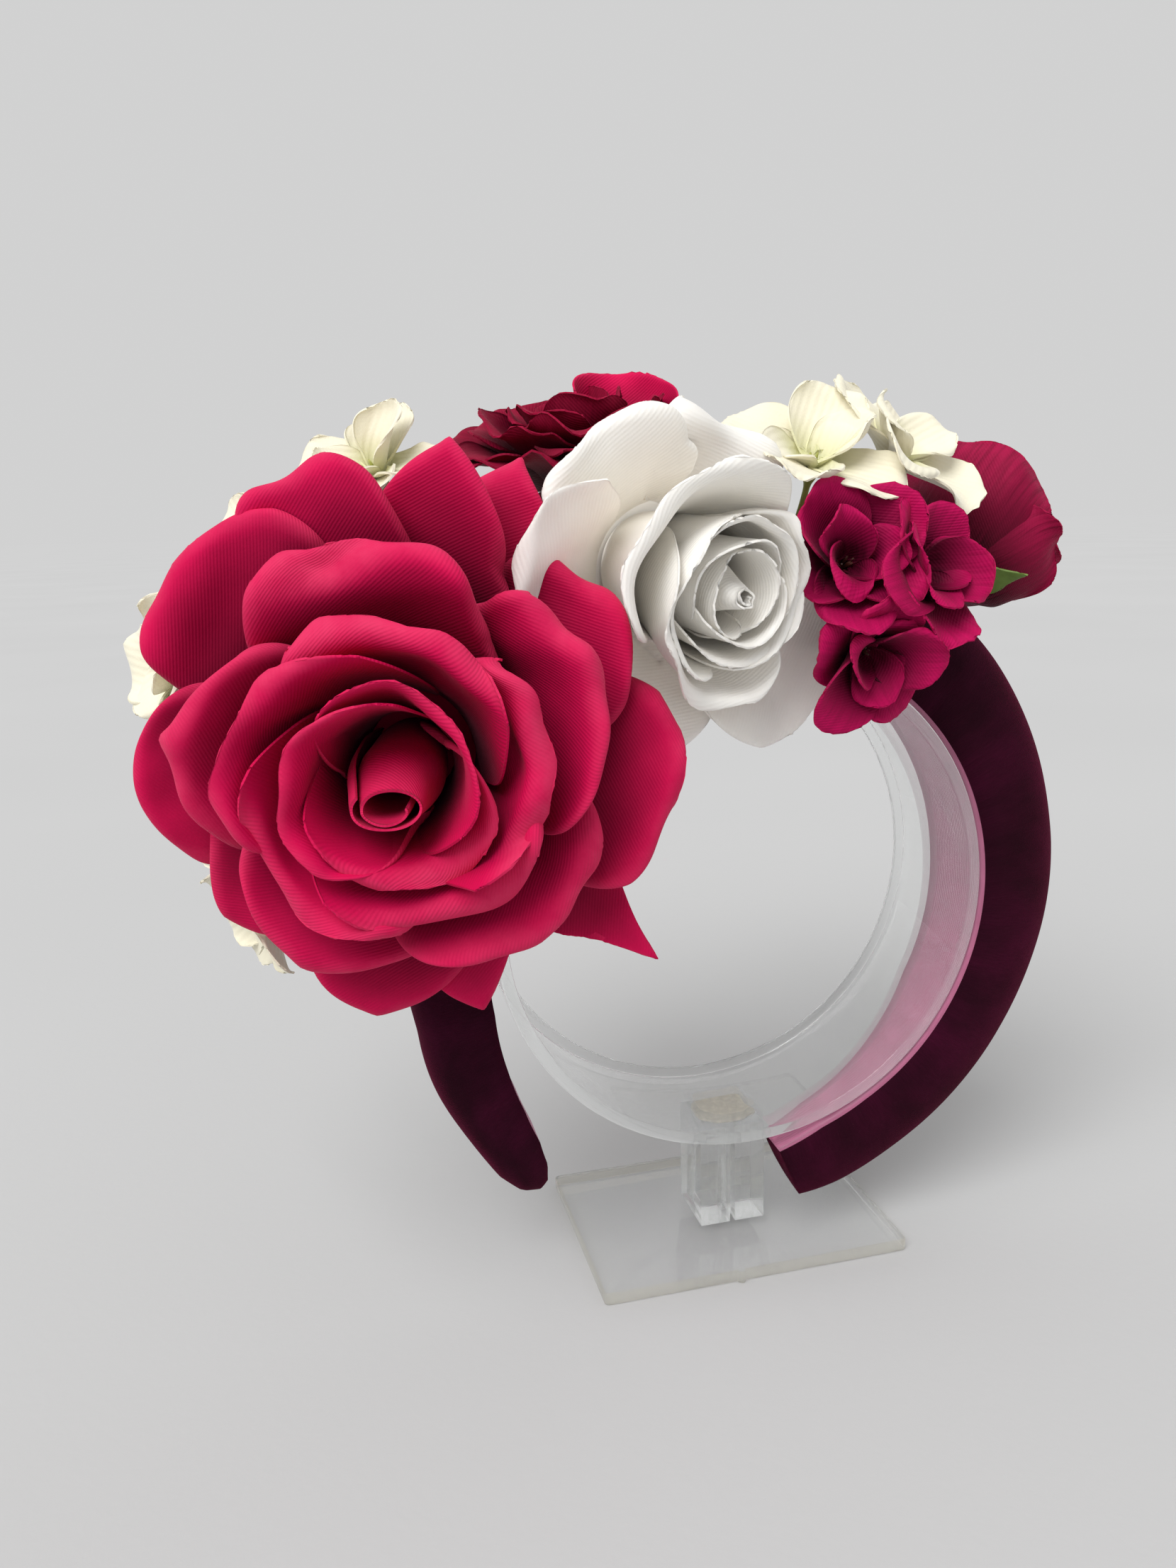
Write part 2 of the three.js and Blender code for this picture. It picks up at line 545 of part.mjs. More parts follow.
BLOSSOMS.forEach((row) => addPiece(row.name, row.color, (grow) => blossomSolid(row, grow)));

const headband = new THREE.Group();
const placed = [];
pieces.forEach(({ name, color, make }) => {
  let solid = make(0);
  placed.filter(({ room }) => boxesMeet(room, solid)).forEach(({ room, body }) => {
    solid = solid.subtract(room);
    if (solid.intersect(body).volume() > TOUCH) {
      solid = solid.subtract(body);
    }
  });
  const body = largestBody(solid);
  placed.push({ room: make(GAP), body });
  const material = new THREE.MeshStandardMaterial({ metalness: 0, ...color });
  const mesh = new THREE.Mesh(geometryOf(body), material);
  mesh.name = name;
  headband.add(mesh);
});

export default headband;
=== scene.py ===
"""Looks of a flower headband on its clear ring stand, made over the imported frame.

Sizes in the tables are millimetres in the frame's own axes: +Z up, the front towards -Y. A flower's
petals are laid out round its own axis, with a clock that starts at the top and runs to the right.
"""

import math
import zlib
from collections import namedtuple

import bpy
import numpy as np
from bpy.props import FloatProperty, FloatVectorProperty, IntProperty, PointerProperty
from bpy.types import Operator, Panel, PropertyGroup
from mathutils import Matrix, Vector


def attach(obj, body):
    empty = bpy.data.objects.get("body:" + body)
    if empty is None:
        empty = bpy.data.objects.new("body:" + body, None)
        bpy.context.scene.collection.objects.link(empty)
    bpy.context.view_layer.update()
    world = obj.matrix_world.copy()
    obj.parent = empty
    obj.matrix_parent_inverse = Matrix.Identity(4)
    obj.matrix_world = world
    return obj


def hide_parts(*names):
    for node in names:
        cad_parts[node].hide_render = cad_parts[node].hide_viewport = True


bl_info = {
    "name": "Flower headband",
    "version": (1, 0, 0),
    "blender": (4, 5, 0),
    "location": "3D View > Sidebar > Headband",
    "description": "Makes a velvet headband with cloth flowers on its clear stand",
    "category": "Add Mesh",
}

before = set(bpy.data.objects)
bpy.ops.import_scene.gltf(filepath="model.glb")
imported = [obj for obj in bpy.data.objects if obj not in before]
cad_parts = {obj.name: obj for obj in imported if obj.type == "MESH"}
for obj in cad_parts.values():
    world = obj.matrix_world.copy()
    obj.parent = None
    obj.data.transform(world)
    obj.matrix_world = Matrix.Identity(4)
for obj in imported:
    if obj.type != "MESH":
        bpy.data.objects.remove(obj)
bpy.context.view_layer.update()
MM = 0.001
WEAVE_MAP = "weave"


def linear(code):
    """A colour as it is written on a swatch card, such as #b0103c, in linear light."""
    shares = [int(code[i : i + 2], 16) / 255 for i in (1, 3, 5)]
    return tuple(s / 12.92 if s <= 0.04045 else ((s + 0.055) / 1.055) ** 2.4 for s in shares)


def table(columns, *rows):
    """Rows of values with named columns."""
    row_type = namedtuple("Row", columns)
    return [row_type(*row) for row in rows]


# Camera, as it stood for the photograph
CAMERA_PLACE = (-98.11, -262.68, 178.72)
CAMERA_YAW = 0.24269
CAMERA_PITCH = 0.21602
CAMERA_ROLL = -0.02715
FOCAL_PIXELS = 1660
PHOTO_HEIGHT = 2212
SENSOR_WIDTH = 36
NEAREST_SEEN = 0.01

# Floor and light
FLOOR_DROP = 0.2
FLOOR_SIDES = 96
FLOOR_RINGS = np.linspace(0.1, 1, 8) ** 2
KEY_DIRECTION = (0.55, 0.6, -0.9)

# Stand
BASE = {"width": 78, "depth": 54, "thickness": 3, "corner": 1.2, "rounding": 0.35}
NUB = {"x": -5, "radius": 1.1, "points": 9}
RING = {"outer": 60, "wall": 3, "depth": 37.8, "centre": 91.5, "rounding": 0.5, "facets": 192}
POST = {"width": 17, "depth": 16, "slot_width": 1.2, "slot_depth": 5, "rounding": 0.4}
GLUE = {"width": 15, "depth": 13, "thickness": 0.7, "rounding": 0.3, "shrink": 0.05, "sides": 40}
GLUE_SQUARENESS = 0.5
GAP = 0.35
CRISP_ANGLE = math.radians(40)

# Velvet bow, from the right end over the top to the left tip
BAND_CORNER = 3.2
END_SLANT = 3.5
SLANT_REACH = 12
BAND_STEPS = 320
BAND_ARC_POINTS = 40
LINING_POINTS = 6
DENT_DEPTH = 0.25
DENT_PITCH = 24
DENT_TURN = 1.2
COVER_RADIUS = 72
COVER_GIRTH = 14
LINING_RADIUS = 62
BAND_ROWS = table(
    "angle inner thick front back",
    (-83, 63.8, 15.6, -19.8, -9.0),
    (-72, 61.4, 18.6, -20.0, -7.0),
    (-60, 60.8, 19.5, -20.0, -5.0),
    (-30, 60.7, 21.5, -20.0, 3.0),
    (5, 60.7, 23.5, -20.0, 6.0),
    (45, 60.7, 24.0, -20.0, 8.0),
    (90, 60.7, 23.0, -20.0, 9.0),
    (135, 60.7, 21.5, -20.0, 8.0),
    (178, 60.8, 19.2, -20.0, 5.0),
    (197, 63.5, 17.4, -20.0, 0.0),
    (209, 66.7, 16.6, -19.8, -4.0),
    (218, 69.6, 15.4, -19.5, -6.5),
    (225, 72.8, 13.6, -19.0, -8.0),
    (229.5, 76.4, 9.6, -18.0, -9.5),
    (232, 80.2, 3.6, -16.0, -11.5),
)

# Petals
FOOT_RISE = 0.5
CAD_CLOTH = 1.0
FOOT_RATIO = 0.5
WIDEST = 0.6
SKEW_START = 0.3
DROP_RISE = 1.5
SIDE_LIP_START = 0.55
TUCK_START = 0.6
TIP_TURN = 4
RIM_SOFTNESS = 0.4
SIDE_FINENESS = 1.35
RIM_FINENESS = 1.45
HOLLOW_PITCH = 17
RIPPLE_PITCH = 14
RIPPLE_EDGE = 5
LIP_PITCH = 24
LIP_CHANGE = 0.15
ROLL_PITCH = 26
ROLL_CHANGE = 0.14
Grid = namedtuple("Grid", "across along")
ROSE_GRID = Grid(44, 44)
SMALL_GRID = Grid(22, 20)
HEART_GRID = Grid(160, 60)
HEART = {"belly": 0.55, "taper": 1.3, "winding": 0.6, "crease": 0.25, "slant": 0.8, "droop": 2.5}
Outline = namedtuple("Outline", "tip drop power far_side")
OUTLINES = {
    "rim": Outline(0.9, 0.17, 4.0, 0.0),
    "round": Outline(0.76, 0.24, 2.2, 0.8),
    "point": Outline(0.72, 0.32, 1.5, 1.0),
    "spear": Outline(0.4, 0.3, 1.2, 1.0),
    "square": Outline(0.88, 0.2, 3.4, 1.0),
    "ruffle": Outline(0.9, 0.2, 3.0, 0.6),
}
PETAL = "name turn foot length width lean_foot lean_tip cup skew lip roll outline ripple"
Petal = namedtuple("Petal", PETAL)
Flower = namedtuple("Flower", "name origin axis heart calyx anchor petals")
Heart = namedtuple("Heart", "height foot belly tip turns squash sink")
Calyx = namedtuple("Calyx", "radius depth neck")
Anchor = namedtuple("Anchor", "angle y")

BIG_ROSE = Flower(
    "big_rose",
    (-75.5, -25, 135.5),
    (-0.23, -0.97, -0.01),
    Heart(38, 7.4, 9.2, 6.4, 1.6, 0.42, 3.4),
    Calyx(21, 12, 4.5),
    Anchor(147, -9),
    table(
        PETAL,
        ("core_1", 30, 9.2, 43, 54, 3, 19, 400, 2.2, 2.6, 2.4, "rim", 0.3),
        ("core_2", 150, 9.2, 41, 54, 3, 19, 400, 2.2, 7.0, 3.2, "rim", 0.3),
        ("core_3", 270, 9.2, 42, 54, 3, 19, 400, 2.2, 3.2, 2.4, "rim", 0.3),
        ("inner_1", 5, 13, 44, 54, 8, 31, 300, 2.8, 7.0, 2.8, "rim", 0.3),
        ("inner_2", 77, 13, 43, 54, 8, 31, 300, 2.8, 7.5, 3.0, "rim", 0.3),
        ("inner_3", 149, 13, 41, 54, 8, 31, 300, 2.8, 7.5, 3.0, "rim", 0.3),
        ("inner_4", 221, 13, 41, 54, 8, 31, 300, 2.8, 6.0, 3.0, "rim", 0.3),
        ("inner_5", 293, 13, 43, 54, 8, 31, 300, 2.8, 4.5, 2.8, "rim", 0.3),
        ("middle_1", 352, 16.6, 42, 54, 22, 58, 200, 3.4, 8.0, 3.2, "square", 0.4),
        ("middle_2", 64, 16.6, 42, 54, 22, 58, 200, 3.4, 8.0, 3.2, "round", 0.4),
        ("middle_3", 138, 16.6, 41, 54, 22, 58, 200, 3.4, 8.0, 3.2, "round", 0.4),
        ("middle_4", 209, 16.6, 42, 54, 22, 58, 200, 3.4, 8.0, 3.2, "point", 0.4),
        ("middle_5", 280, 16.6, 44, 54, 22, 58, 200, 3.4, 8.5, 3.2, "point", 0.4),
        ("outer_1", 11, 20.2, 46, 31, 58, 84, 120, 2.0, 5.0, 2.6, "point", 0.5),
        ("outer_1", 343, 18.8, 45, 40, 54, 80, 120, 3.8, 6.5, 2.6, "square", 0.5),
        ("outer_2", 54, 20.2, 35, 44, 58, 84, 120, 3.8, 6.0, 2.6, "round", 0.5),
        ("outer_2", 23, 20.2, 44, 30, 80, 97, 120, 2.0, 5.0, 2.6, "point", 0.5),
        ("outer_3", 98, 20.2, 37, 46, 58, 84, 120, 3.8, 5.0, 2.6, "square", 0.5),
        ("outer_4", 133, 20.2, 47, 20, 76, 94, 120, 1.5, 2.0, 2.4, "spear", 0.5),
        ("outer_5", 190, 20.2, 40, 44, 58, 84, 120, 3.8, 6.5, 2.6, "point", 0.5),
        ("outer_5", 168, 20.2, 38, 24, 72, 92, 120, 1.5, 3.0, 2.4, "point", 0.5),
        ("outer_6", 231, 20.2, 35, 44, 58, 84, 120, 3.8, 6.5, 2.6, "point", 0.5),
        ("outer_7", 264, 20.2, 37, 44, 58, 84, 120, 3.8, 6.0, 2.6, "round", 0.5),
        ("outer_8", 315, 20.2, 40, 46, 58, 84, 120, 3.8, 5.0, 2.6, "square", 0.5),
    ),
)
WHITE_ROSE = Flower(
    "white_rose",
    (-24.5, -19, 170),
    (0.36, -0.92, -0.16),
    Heart(32, 5.4, 6.6, 2.6, 1.8, 0.2, 0.5),
    Calyx(14, 9, 3.5),
    Anchor(110, -4),
    table(
        PETAL,
        ("core_1", 60, 6.8, 33, 36, 8, -5, 400, 2.6, 1.6, 2.0, "rim", 0.3),
        ("core_1", 150, 8.2, 33, 42, 9, -1, 400, 3.0, 2.0, 2.0, "rim", 0.3),
        ("core_2", 240, 6.8, 32, 36, 8, -5, 400, 2.6, 1.6, 2.0, "rim", 0.3),
        ("core_2", 330, 8.2, 33, 42, 9, 2, 400, 3.0, 2.0, 2.0, "rim", 0.3),
        ("inner_1", 20, 9.8, 33, 48, 9, 6, 300, 3.2, 2.6, 2.2, "rim", 0.4),
        ("inner_1", 80, 10.8, 33, 52, 7, 12, 300, 3.2, 3.6, 2.2, "rim", 0.4),
        ("inner_2", 140, 9.8, 32, 48, 9, 10, 300, 3.2, 2.6, 2.2, "rim", 0.4),
        ("inner_2", 200, 11.6, 33, 56, 8, 26, 300, 3.2, 3.6, 2.2, "rim", 0.4),
        ("inner_3", 260, 9.8, 33, 48, 9, 18, 300, 3.2, 2.6, 2.2, "rim", 0.4),
        ("inner_3", 310, 11.6, 34, 56, 9, 40, 300, 2.6, 4.6, 2.4, "rim", 0.4),
        ("outer_1", 323, 13.2, 25, 36, 48, 86, 140, 2.4, 3.0, 2.2, "square", 0.7),
        ("outer_2", 28, 13.2, 26, 42, 44, 78, 140, 3.0, 6.5, 2.6, "square", 0.7),
        ("outer_3", 127, 13.2, 39, 40, 46, 80, 140, 3.0, 2.0, 2.2, "square", 0.5),
        ("outer_4", 191, 13.2, 34, 46, 46, 82, 140, 3.0, 6.0, 2.2, "point", 0.8),
        ("outer_5", 263, 13.2, 28, 48, 52, 88, 140, 3.0, 4.0, 2.2, "ruffle", 1.6),
    ),
)
RASPBERRY_BUD = Flower(
    "raspberry_bud",
    (57, 7, 162),
    (0.72, 0.2, 0.66),
    None,
    Calyx(6.5, 7, 2.6),
    Anchor(56, 2),
    table(
        PETAL,
        ("petal_1", 20, 3.2, 30, 34, 30, -6, 400, 1.2, 2.0, 2.6, "ruffle", 1.0),
        ("petal_2", 80, 5.4, 34, 48, 62, 2, 120, 2.6, 2.0, 2.6, "ruffle", 1.5),
        ("petal_3", 200, 5.4, 33, 48, 62, 2, 120, 2.6, 2.0, 2.6, "ruffle", 1.5),
        ("petal_3", 150, 6.0, 28, 34, 66, 12, 120, 2.6, 2.0, 2.6, "ruffle", 1.6),
        ("petal_4", 320, 5.4, 35, 48, 62, 2, 120, 2.6, 2.0, 2.6, "ruffle", 1.5),
        ("petal_4", 262, 6.0, 29, 34, 66, 14, 120, 2.6, 2.0, 2.6, "ruffle", 1.6),
    ),
)
BUD_SEPAL = Petal("sepal", 262, 6.3, 20, 10, 62, 84, 200, 0, 1.0, 3, "spear", 0.3)

# Cup of a flower, as shares of its radius or neck and of its depth
CUP_TOP = ((0.9, -0.05), (1, -0.5), (0.985, -1.0))
CUP_SIDE = ((0.8, 0.32), (0.55, 0.58))
CUP_NECK = ((1.25, 0.86), (1, 1))
CUP_TIP = 0.2
CUP_END = 0.1
CUP_STEPS = 5
CUP_SIDES = 60
CUP_RIBS = 5
RIB_HEIGHT = 0.03
STEM_SHARE = 0.8
STEM_POINTS = 16
STEM_SIDES = 14

# Green sepals behind a flower, fanned out on the side away from the bow
SEPAL_TURNS = (-104, -52, 0, 52, 104)
SEPAL_SHARE = 1.2
SEPAL_WIDTH = 0.8
SEPAL_LEAN_FOOT = 15
SEPAL_LEAN_TIP = -4
SEPAL_SHAPE = (60, 0, 1.0, 3.0, "spear", 0.4)

# Ruffled layers of the dark flower, nested from the heart outwards
DARK_FLOWER = Flower(
    "dark_flower",
    (-32, 6, 187),
    (-0.12, -0.14, 0.98),
    None,
    Calyx(10, 9, 3.5),
    Anchor(117, 0),
    [],
)
DARK_LAYERS = table(
    "name foot length lean_foot lean_tip petals ripple",
    ("heart", 2.4, 19, 4, 20, 4, 0.8),
    ("whorl_1", 4.8, 21, 10, 42, 5, 1.2),
    ("whorl_2", 7.2, 22, 28, 64, 6, 1.5),
    ("whorl_3", 9.4, 22, 46, 88, 6, 1.7),
)
DARK_OVERLAP = 1.25
DARK_CUT = (300, 1.8, 1.6, 2.2, "ruffle")
LAYER_TURN = 17
TURN_SPREAD = (-6, 6)
LEAN_SPREAD = (-6, 4)
BRIGHT_LAYER = "whorl_1"
BRIGHT_PETAL = Petal("bright", 4, 12, 23, 40, 2, 20, 60, 0.6, 2.0, 2.4, "round", 0.7)
BRIGHT_PLACE = {"origin": (-22.5, 1, 189), "axis": (0.06, -0.1, 0.98)}

# Die-cut blossoms: centre, facing direction, petal length and count, and where the stem meets the bow
BLOSSOM = {"foot": 1.4, "ratio": 0.98, "cup": 40, "open": 26, "lip": 2.0, "roll": 3.4}
BLOSSOM_SPREAD = {"length": (0.93, 1.07), "lean": (-14, 14), "turn": (-7, 7), "skew": (-1.5, 1.8)}
BLOSSOM_STEM = {"start": 0.5, "back": -9, "radius": 0.7, "knot": 1.6, "points": 18, "sides": 12}
SECOND_WHORL = {"fewer": 2, "turn": 40, "share": 0.8, "lean": -18}
STAMENS = {"count": 7, "spread": (0.4, 2.4), "height": (3.0, 5.0), "foot": (0, 0, -0.5), "sides": 8}
STAMEN_RADII = (0.25, 0.22, 0.2, 0.42, 0.2)
BLOSSOM_COLUMNS = "name x y z ax ay az petal count turn lean angle seat"
IVORY_BLOSSOMS = table(
    BLOSSOM_COLUMNS,
    ("ivory_blossom_1", 15, -16, 189, -0.1, -0.56, 0.82, 20, 4, 35, 54, 80, -6),
    ("ivory_blossom_2", 36, -10, 190, 0.4, -0.5, 0.75, 21, 4, 62, 60, 70, -4),
    ("ivory_blossom_3", -77, 2, 190, -0.3, -0.5, 0.8, 18, 4, 0, 55, 128, 2),
    ("ivory_blossom_4", -101, 2, 172, -0.75, -0.4, 0.5, 18, 4, 40, 60, 139, 2),
    ("ivory_blossom_5", -119, -2, 150, -0.9, -0.4, 0.15, 18, 4, 10, 60, 153, 0),
    ("ivory_blossom_6", -107, -4, 100, -0.75, -0.35, -0.55, 18, 4, 30, 60, 170, -4),
)
CRIMSON_BLOSSOMS = table(
    BLOSSOM_COLUMNS,
    ("crimson_blossom_1", 18, -25, 168, -0.1, -0.9, 0.34, 15.6, 5, 46, 36, 74, -12),
    ("crimson_blossom_2", 32, -28, 165, 0.4, -0.85, 0.35, 14, 5, 40, 40, 62, -12),
    ("crimson_blossom_3", 21, -27, 151.5, 0.1, -0.9, -0.3, 14.4, 5, 0, 38, 67, -15),
)
CRIMSON_LONGER = 1.28
IVORY_RIPPLE = 1.5
CRIMSON_RIPPLE = 1.4

# Tints that belong to one finish
PINK_SHEEN = linear("#f08aa4")
DARK_SHEEN = linear("#d8607c")
RASPBERRY_SHEEN = linear("#e07a98")
# Painted warm shade for the folds of the white satin
WARM_FOLD_SHADE = linear("#f7f0e0")
GREEN_BLUSH = linear("#b9bd6b")
IVORY_STEM = linear("#a9ad5a")
CRIMSON_STEM = linear("#5a2a22")


def swatch(name, code, description):
    return FloatVectorProperty(name=name, description=description, default=linear(code), subtype="COLOR")


def length(name, size, description):
    return FloatProperty(name=name, description=description, default=size, unit="LENGTH", precision=5)


def angle(name, degrees, description):
    return FloatProperty(name=name, description=description, default=math.radians(degrees), subtype="ANGLE")


def brightness(name, amount, description):
    return FloatProperty(name=name, description=description, default=amount, min=0)


class FlowerLook(PropertyGroup):
    """Cloth and colours of the flowers."""

    cloth: length("Cloth", 0.45 * MM, "Thickness of a stiffened petal")
    lip_turn: angle("Lip turn", 165, "How far the rolled lip of a rose petal turns back")
    unevenness: length("Unevenness", 0.55 * MM, "Height of the soft hollows in a petal")
    fray: length("Fray", 0.16 * MM, "How unevenly the threads end at a cut edge")
    crimson: swatch("Crimson", "#cc0a4c", "Cloth of the big rose")
    # Painted highlight: the paler colour that the rolled lips take where they catch the light.
    crimson_lip: swatch("Crimson lip", "#d63560", "Worn, paler cloth along the rolled lips")
    blossom: swatch("Blossom crimson", "#b60952", "Cloth of the small crimson blossoms")
    dark_crimson: swatch("Dark crimson", "#8e0c32", "Cloth of the ruffled flower at the back")
    raspberry: swatch("Raspberry", "#a01443", "Cloth of the bud at the right")
    satin: swatch("White satin", "#fdf9f1", "Cloth of the white rose")
    ivory: swatch("Ivory", "#efe9d2", "Cloth of the small ivory blossoms")
    leaf: swatch("Leaf green", "#7d9a48", "Cups, sepals and stems")


class BandLook(PropertyGroup):
    """Velvet bow."""

    velvet: swatch("Velvet", "#2c0317", "Depth of the pile")
    pile_sheen: swatch("Pile sheen", "#7a163c", "Colour of the pile where it catches the light")
    lining: swatch("Lining", "#b8688a", "Ribbon on the inside of the bow")
    fill: FloatProperty(
        name="Fill",
        description="How tightly the bow is stuffed",
        default=0.85,
        min=0,
        max=1,
        subtype="FACTOR",
    )


class StandLook(PropertyGroup):
    """Clear stand."""

    clear: swatch("Clear plastic", "#f8faf9", "Tint of the faces")
    cut_edge: swatch("Cut edge", "#f0ead0", "Tint of the plate's cut edges")
    glue: swatch("Glue", "#d8d0b8", "Dried pad between the ring and its post")


class StageLook(PropertyGroup):
    """Floor and light."""

    floor: swatch("Floor", "#bfbfbf", "Plain pale floor")
    surroundings: brightness("Surroundings", 0.64, "Strength of the light from all round")
    key_strength: brightness("Key light", 2.6, "Strength of the broad soft light from the upper left")
    key_softness: angle("Key softness", 42, "Width of the broad soft light as the object sees it")
    floor_reach: length("Floor reach", 60, "Distance from the stand to the edge of the floor")
    seed: IntProperty(name="Seed", description="Another number gives other creases", default=7)


def seed_of(name):
    return zlib.crc32(name.encode()) + bpy.context.scene.headband_stage.seed


def wander(seed, x, y, size):
    """A soft random surface about one unit high. size is the distance between its hills."""
    rng = np.random.default_rng(seed)
    total = np.zeros(np.broadcast(x, y).shape)
    waves = 7
    for _ in range(waves):
        direction, phase = rng.uniform(0, 2 * math.pi, 2)
        pitch = size * rng.uniform(0.7, 1.6)
        run = x * math.cos(direction) + y * math.sin(direction)
        total += np.sin(2 * math.pi * run / pitch + phase)
    return total * math.sqrt(2 / waves)


# Meshes
# lip and depth are shares at each point: lip steers the painted highlight on rolled lips, depth (towards a
# petal's foot) steers the painted fold shade and the ivory's green blush.
Wall = namedtuple("Wall", "points faces rims flat lip depth")


def full_clock(steps):
    return np.linspace(0, 2 * math.pi, steps, endpoint=False)


def bent(value, power):
    """A power that keeps the sign, which squares off a round."""
    return np.sign(value) * np.abs(value) ** power


def spread_out(*columns):
    """Points from coordinates of unlike shapes."""
    return np.stack(np.broadcast_arrays(*columns), -1)


def grid_faces(rows, columns, flip, closed=False):
    """Four-cornered faces of a grid of points. closed joins its last column to its first."""
    across = columns if closed else columns - 1
    j, i = np.meshgrid(np.arange(rows - 1), np.arange(across), indexing="ij")
    near, far = j * columns + i, j * columns + (i + 1) % columns
    faces = np.stack([near, far, far + columns, near + columns], -1).reshape(-1, 4)
    return faces[:, ::-1] if flip else faces


def fan(centre, loop, flip):
    """Three-cornered faces from a centre to a closed loop, each with its last corner written twice."""
    after = np.roll(loop, -1)
    first, second = (after, loop) if flip else (loop, after)
    return np.stack([np.full(len(loop), centre), first, second, second], -1)


def lofted(rings):
    """Points, side faces and end faces of a closed solid along rings of points."""
    rows, columns = rings.shape[:2]
    count = rows * columns
    line = np.arange(columns)
    points = np.concatenate([rings.reshape(-1, 3), rings[[0, -1]].mean(1)])
    caps = np.concatenate([fan(count, line, True), fan(count + 1, line + count - columns, False)])
    return points, grid_faces(rows, columns, False, True), caps


def wall_of(middle, thickness, flat, lip, depth):
    """A closed wall on both sides of a grid of points, with its two-dimensional cut as flat."""
    rows, columns = middle.shape[:2]
    normal = np.cross(np.gradient(middle, axis=1), np.gradient(middle, axis=0))
    normal /= np.maximum(np.linalg.norm(normal, axis=-1, keepdims=True), 1e-9)
    offset = normal * thickness / 2
    count = rows * columns
    faces = np.concatenate([grid_faces(rows, columns, False), grid_faces(rows, columns, True) + count])
    at = np.arange(count).reshape(rows, columns)
    rims = []
    for line, flip in ((at[0], True), (at[-1], False), (at[:, 0], False), (at[:, -1], True)):
        strip = np.stack([line[:-1], line[1:], line[1:] + count, line[:-1] + count], -1)
        rims.append(strip if flip else strip[:, ::-1])
    points = np.concatenate([(middle + offset).reshape(-1, 3), (middle - offset).reshape(-1, 3)])
    cut = np.tile(flat.reshape(-1, 2), (2, 1))
    return Wall(points, faces, np.concatenate(rims), cut, np.tile(lip.ravel(), 2), np.tile(depth.ravel(), 2))


def marked(walls, marks):
    """Which finish each face of the joined walls takes."""
    smooth = [np.full(len(wall.faces), mark) for wall, mark in zip(walls, marks)]
    rims = [np.full(len(wall.rims), mark) for wall, mark in zip(walls, marks)]
    return np.concatenate(smooth + rims)


def joined(walls):
    """Several walls as one."""
    starts = np.cumsum([0] + [len(wall.points) for wall in walls[:-1]])
    shifted = [wall._replace(faces=wall.faces + i, rims=wall.rims + i) for wall, i in zip(walls, starts)]
    return Wall(*(np.concatenate(columns) for columns in zip(*shifted)))


def moved(wall, matrix):
    """A wall in the place that matrix gives."""
    return wall._replace(points=wall.points @ np.array(matrix.to_3x3()).T + np.array(matrix.translation))


def new_mesh(name, points, faces, materials, marks, smooth):
    """A mesh from points in millimetres, with a finish and a shading for each face."""
    mesh = bpy.data.meshes.new(name)
    mesh.from_pydata((points * MM).tolist(), [], faces)
    for material in materials:
        mesh.materials.append(material)
    mesh.polygons.foreach_set("material_index", marks)
    mesh.polygons.foreach_set("use_smooth", smooth)
    return mesh


def placed(mesh, node):
    """Puts a mesh into the scene as the piece that stands for a node."""
    mesh.validate()
    mesh.update()
    piece = bpy.data.objects.new(mesh.name, mesh)
    bpy.context.scene.collection.objects.link(piece)
    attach(piece, "root")
    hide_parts(node)
    return piece


def add_piece(name, wall, matrix, materials, node, marks=None):
    """A piece of the object from a wall in millimetres, in the place that matrix gives."""
    faces = np.concatenate([wall.faces, wall.rims]).tolist()
    faces = [corners[:3] if corners[2] == corners[3] else corners for corners in faces]
    marks = np.zeros(len(faces), int) if marks is None else marks
    smooth = np.arange(len(faces)) < len(wall.faces)
    mesh = new_mesh(name, moved(wall, matrix).points, faces, materials, marks, smooth)
    for label, values in (("lip", wall.lip), ("depth", wall.depth)):
        mesh.attributes.new(label, "FLOAT", "POINT").data.foreach_set("value", values.astype(np.float32))
    corners = np.empty(len(mesh.loops), np.int32)
    mesh.loops.foreach_get("vertex_index", corners)
    cut = wall.flat[corners].astype(np.float32).ravel()
    mesh.uv_layers.new(name=WEAVE_MAP).data.foreach_set("uv", cut)
    return placed(mesh, node)


# Bow
def band_row(at_angle):
    """Inner radius, thickness, front and back of the bow's section at an angle round the ring."""
    angles = [row.angle for row in BAND_ROWS]
    columns = list(zip(*BAND_ROWS))[1:]
    return [np.interp(at_angle, angles, column) for column in columns]


def dome(share):
    """Height of the section's rounded back, as a share, at a share of its half width."""
    return (1 - np.clip(share, 0, 1) ** BAND_CORNER) ** (1 / BAND_CORNER)


def round_ring(radius, y, turn):
    """Points at a radius from the ring's axis."""
    return spread_out(radius * np.cos(turn), y, RING["centre"] + radius * np.sin(turn))


def band_surface(at_angle, y):
    """A point on the bow's cover."""
    inner, thick, front, back = band_row(at_angle)
    radius = inner + thick * dome(abs((2 * y - front - back) / (back - front)))
    return Vector(round_ring(radius, y, math.radians(at_angle)))


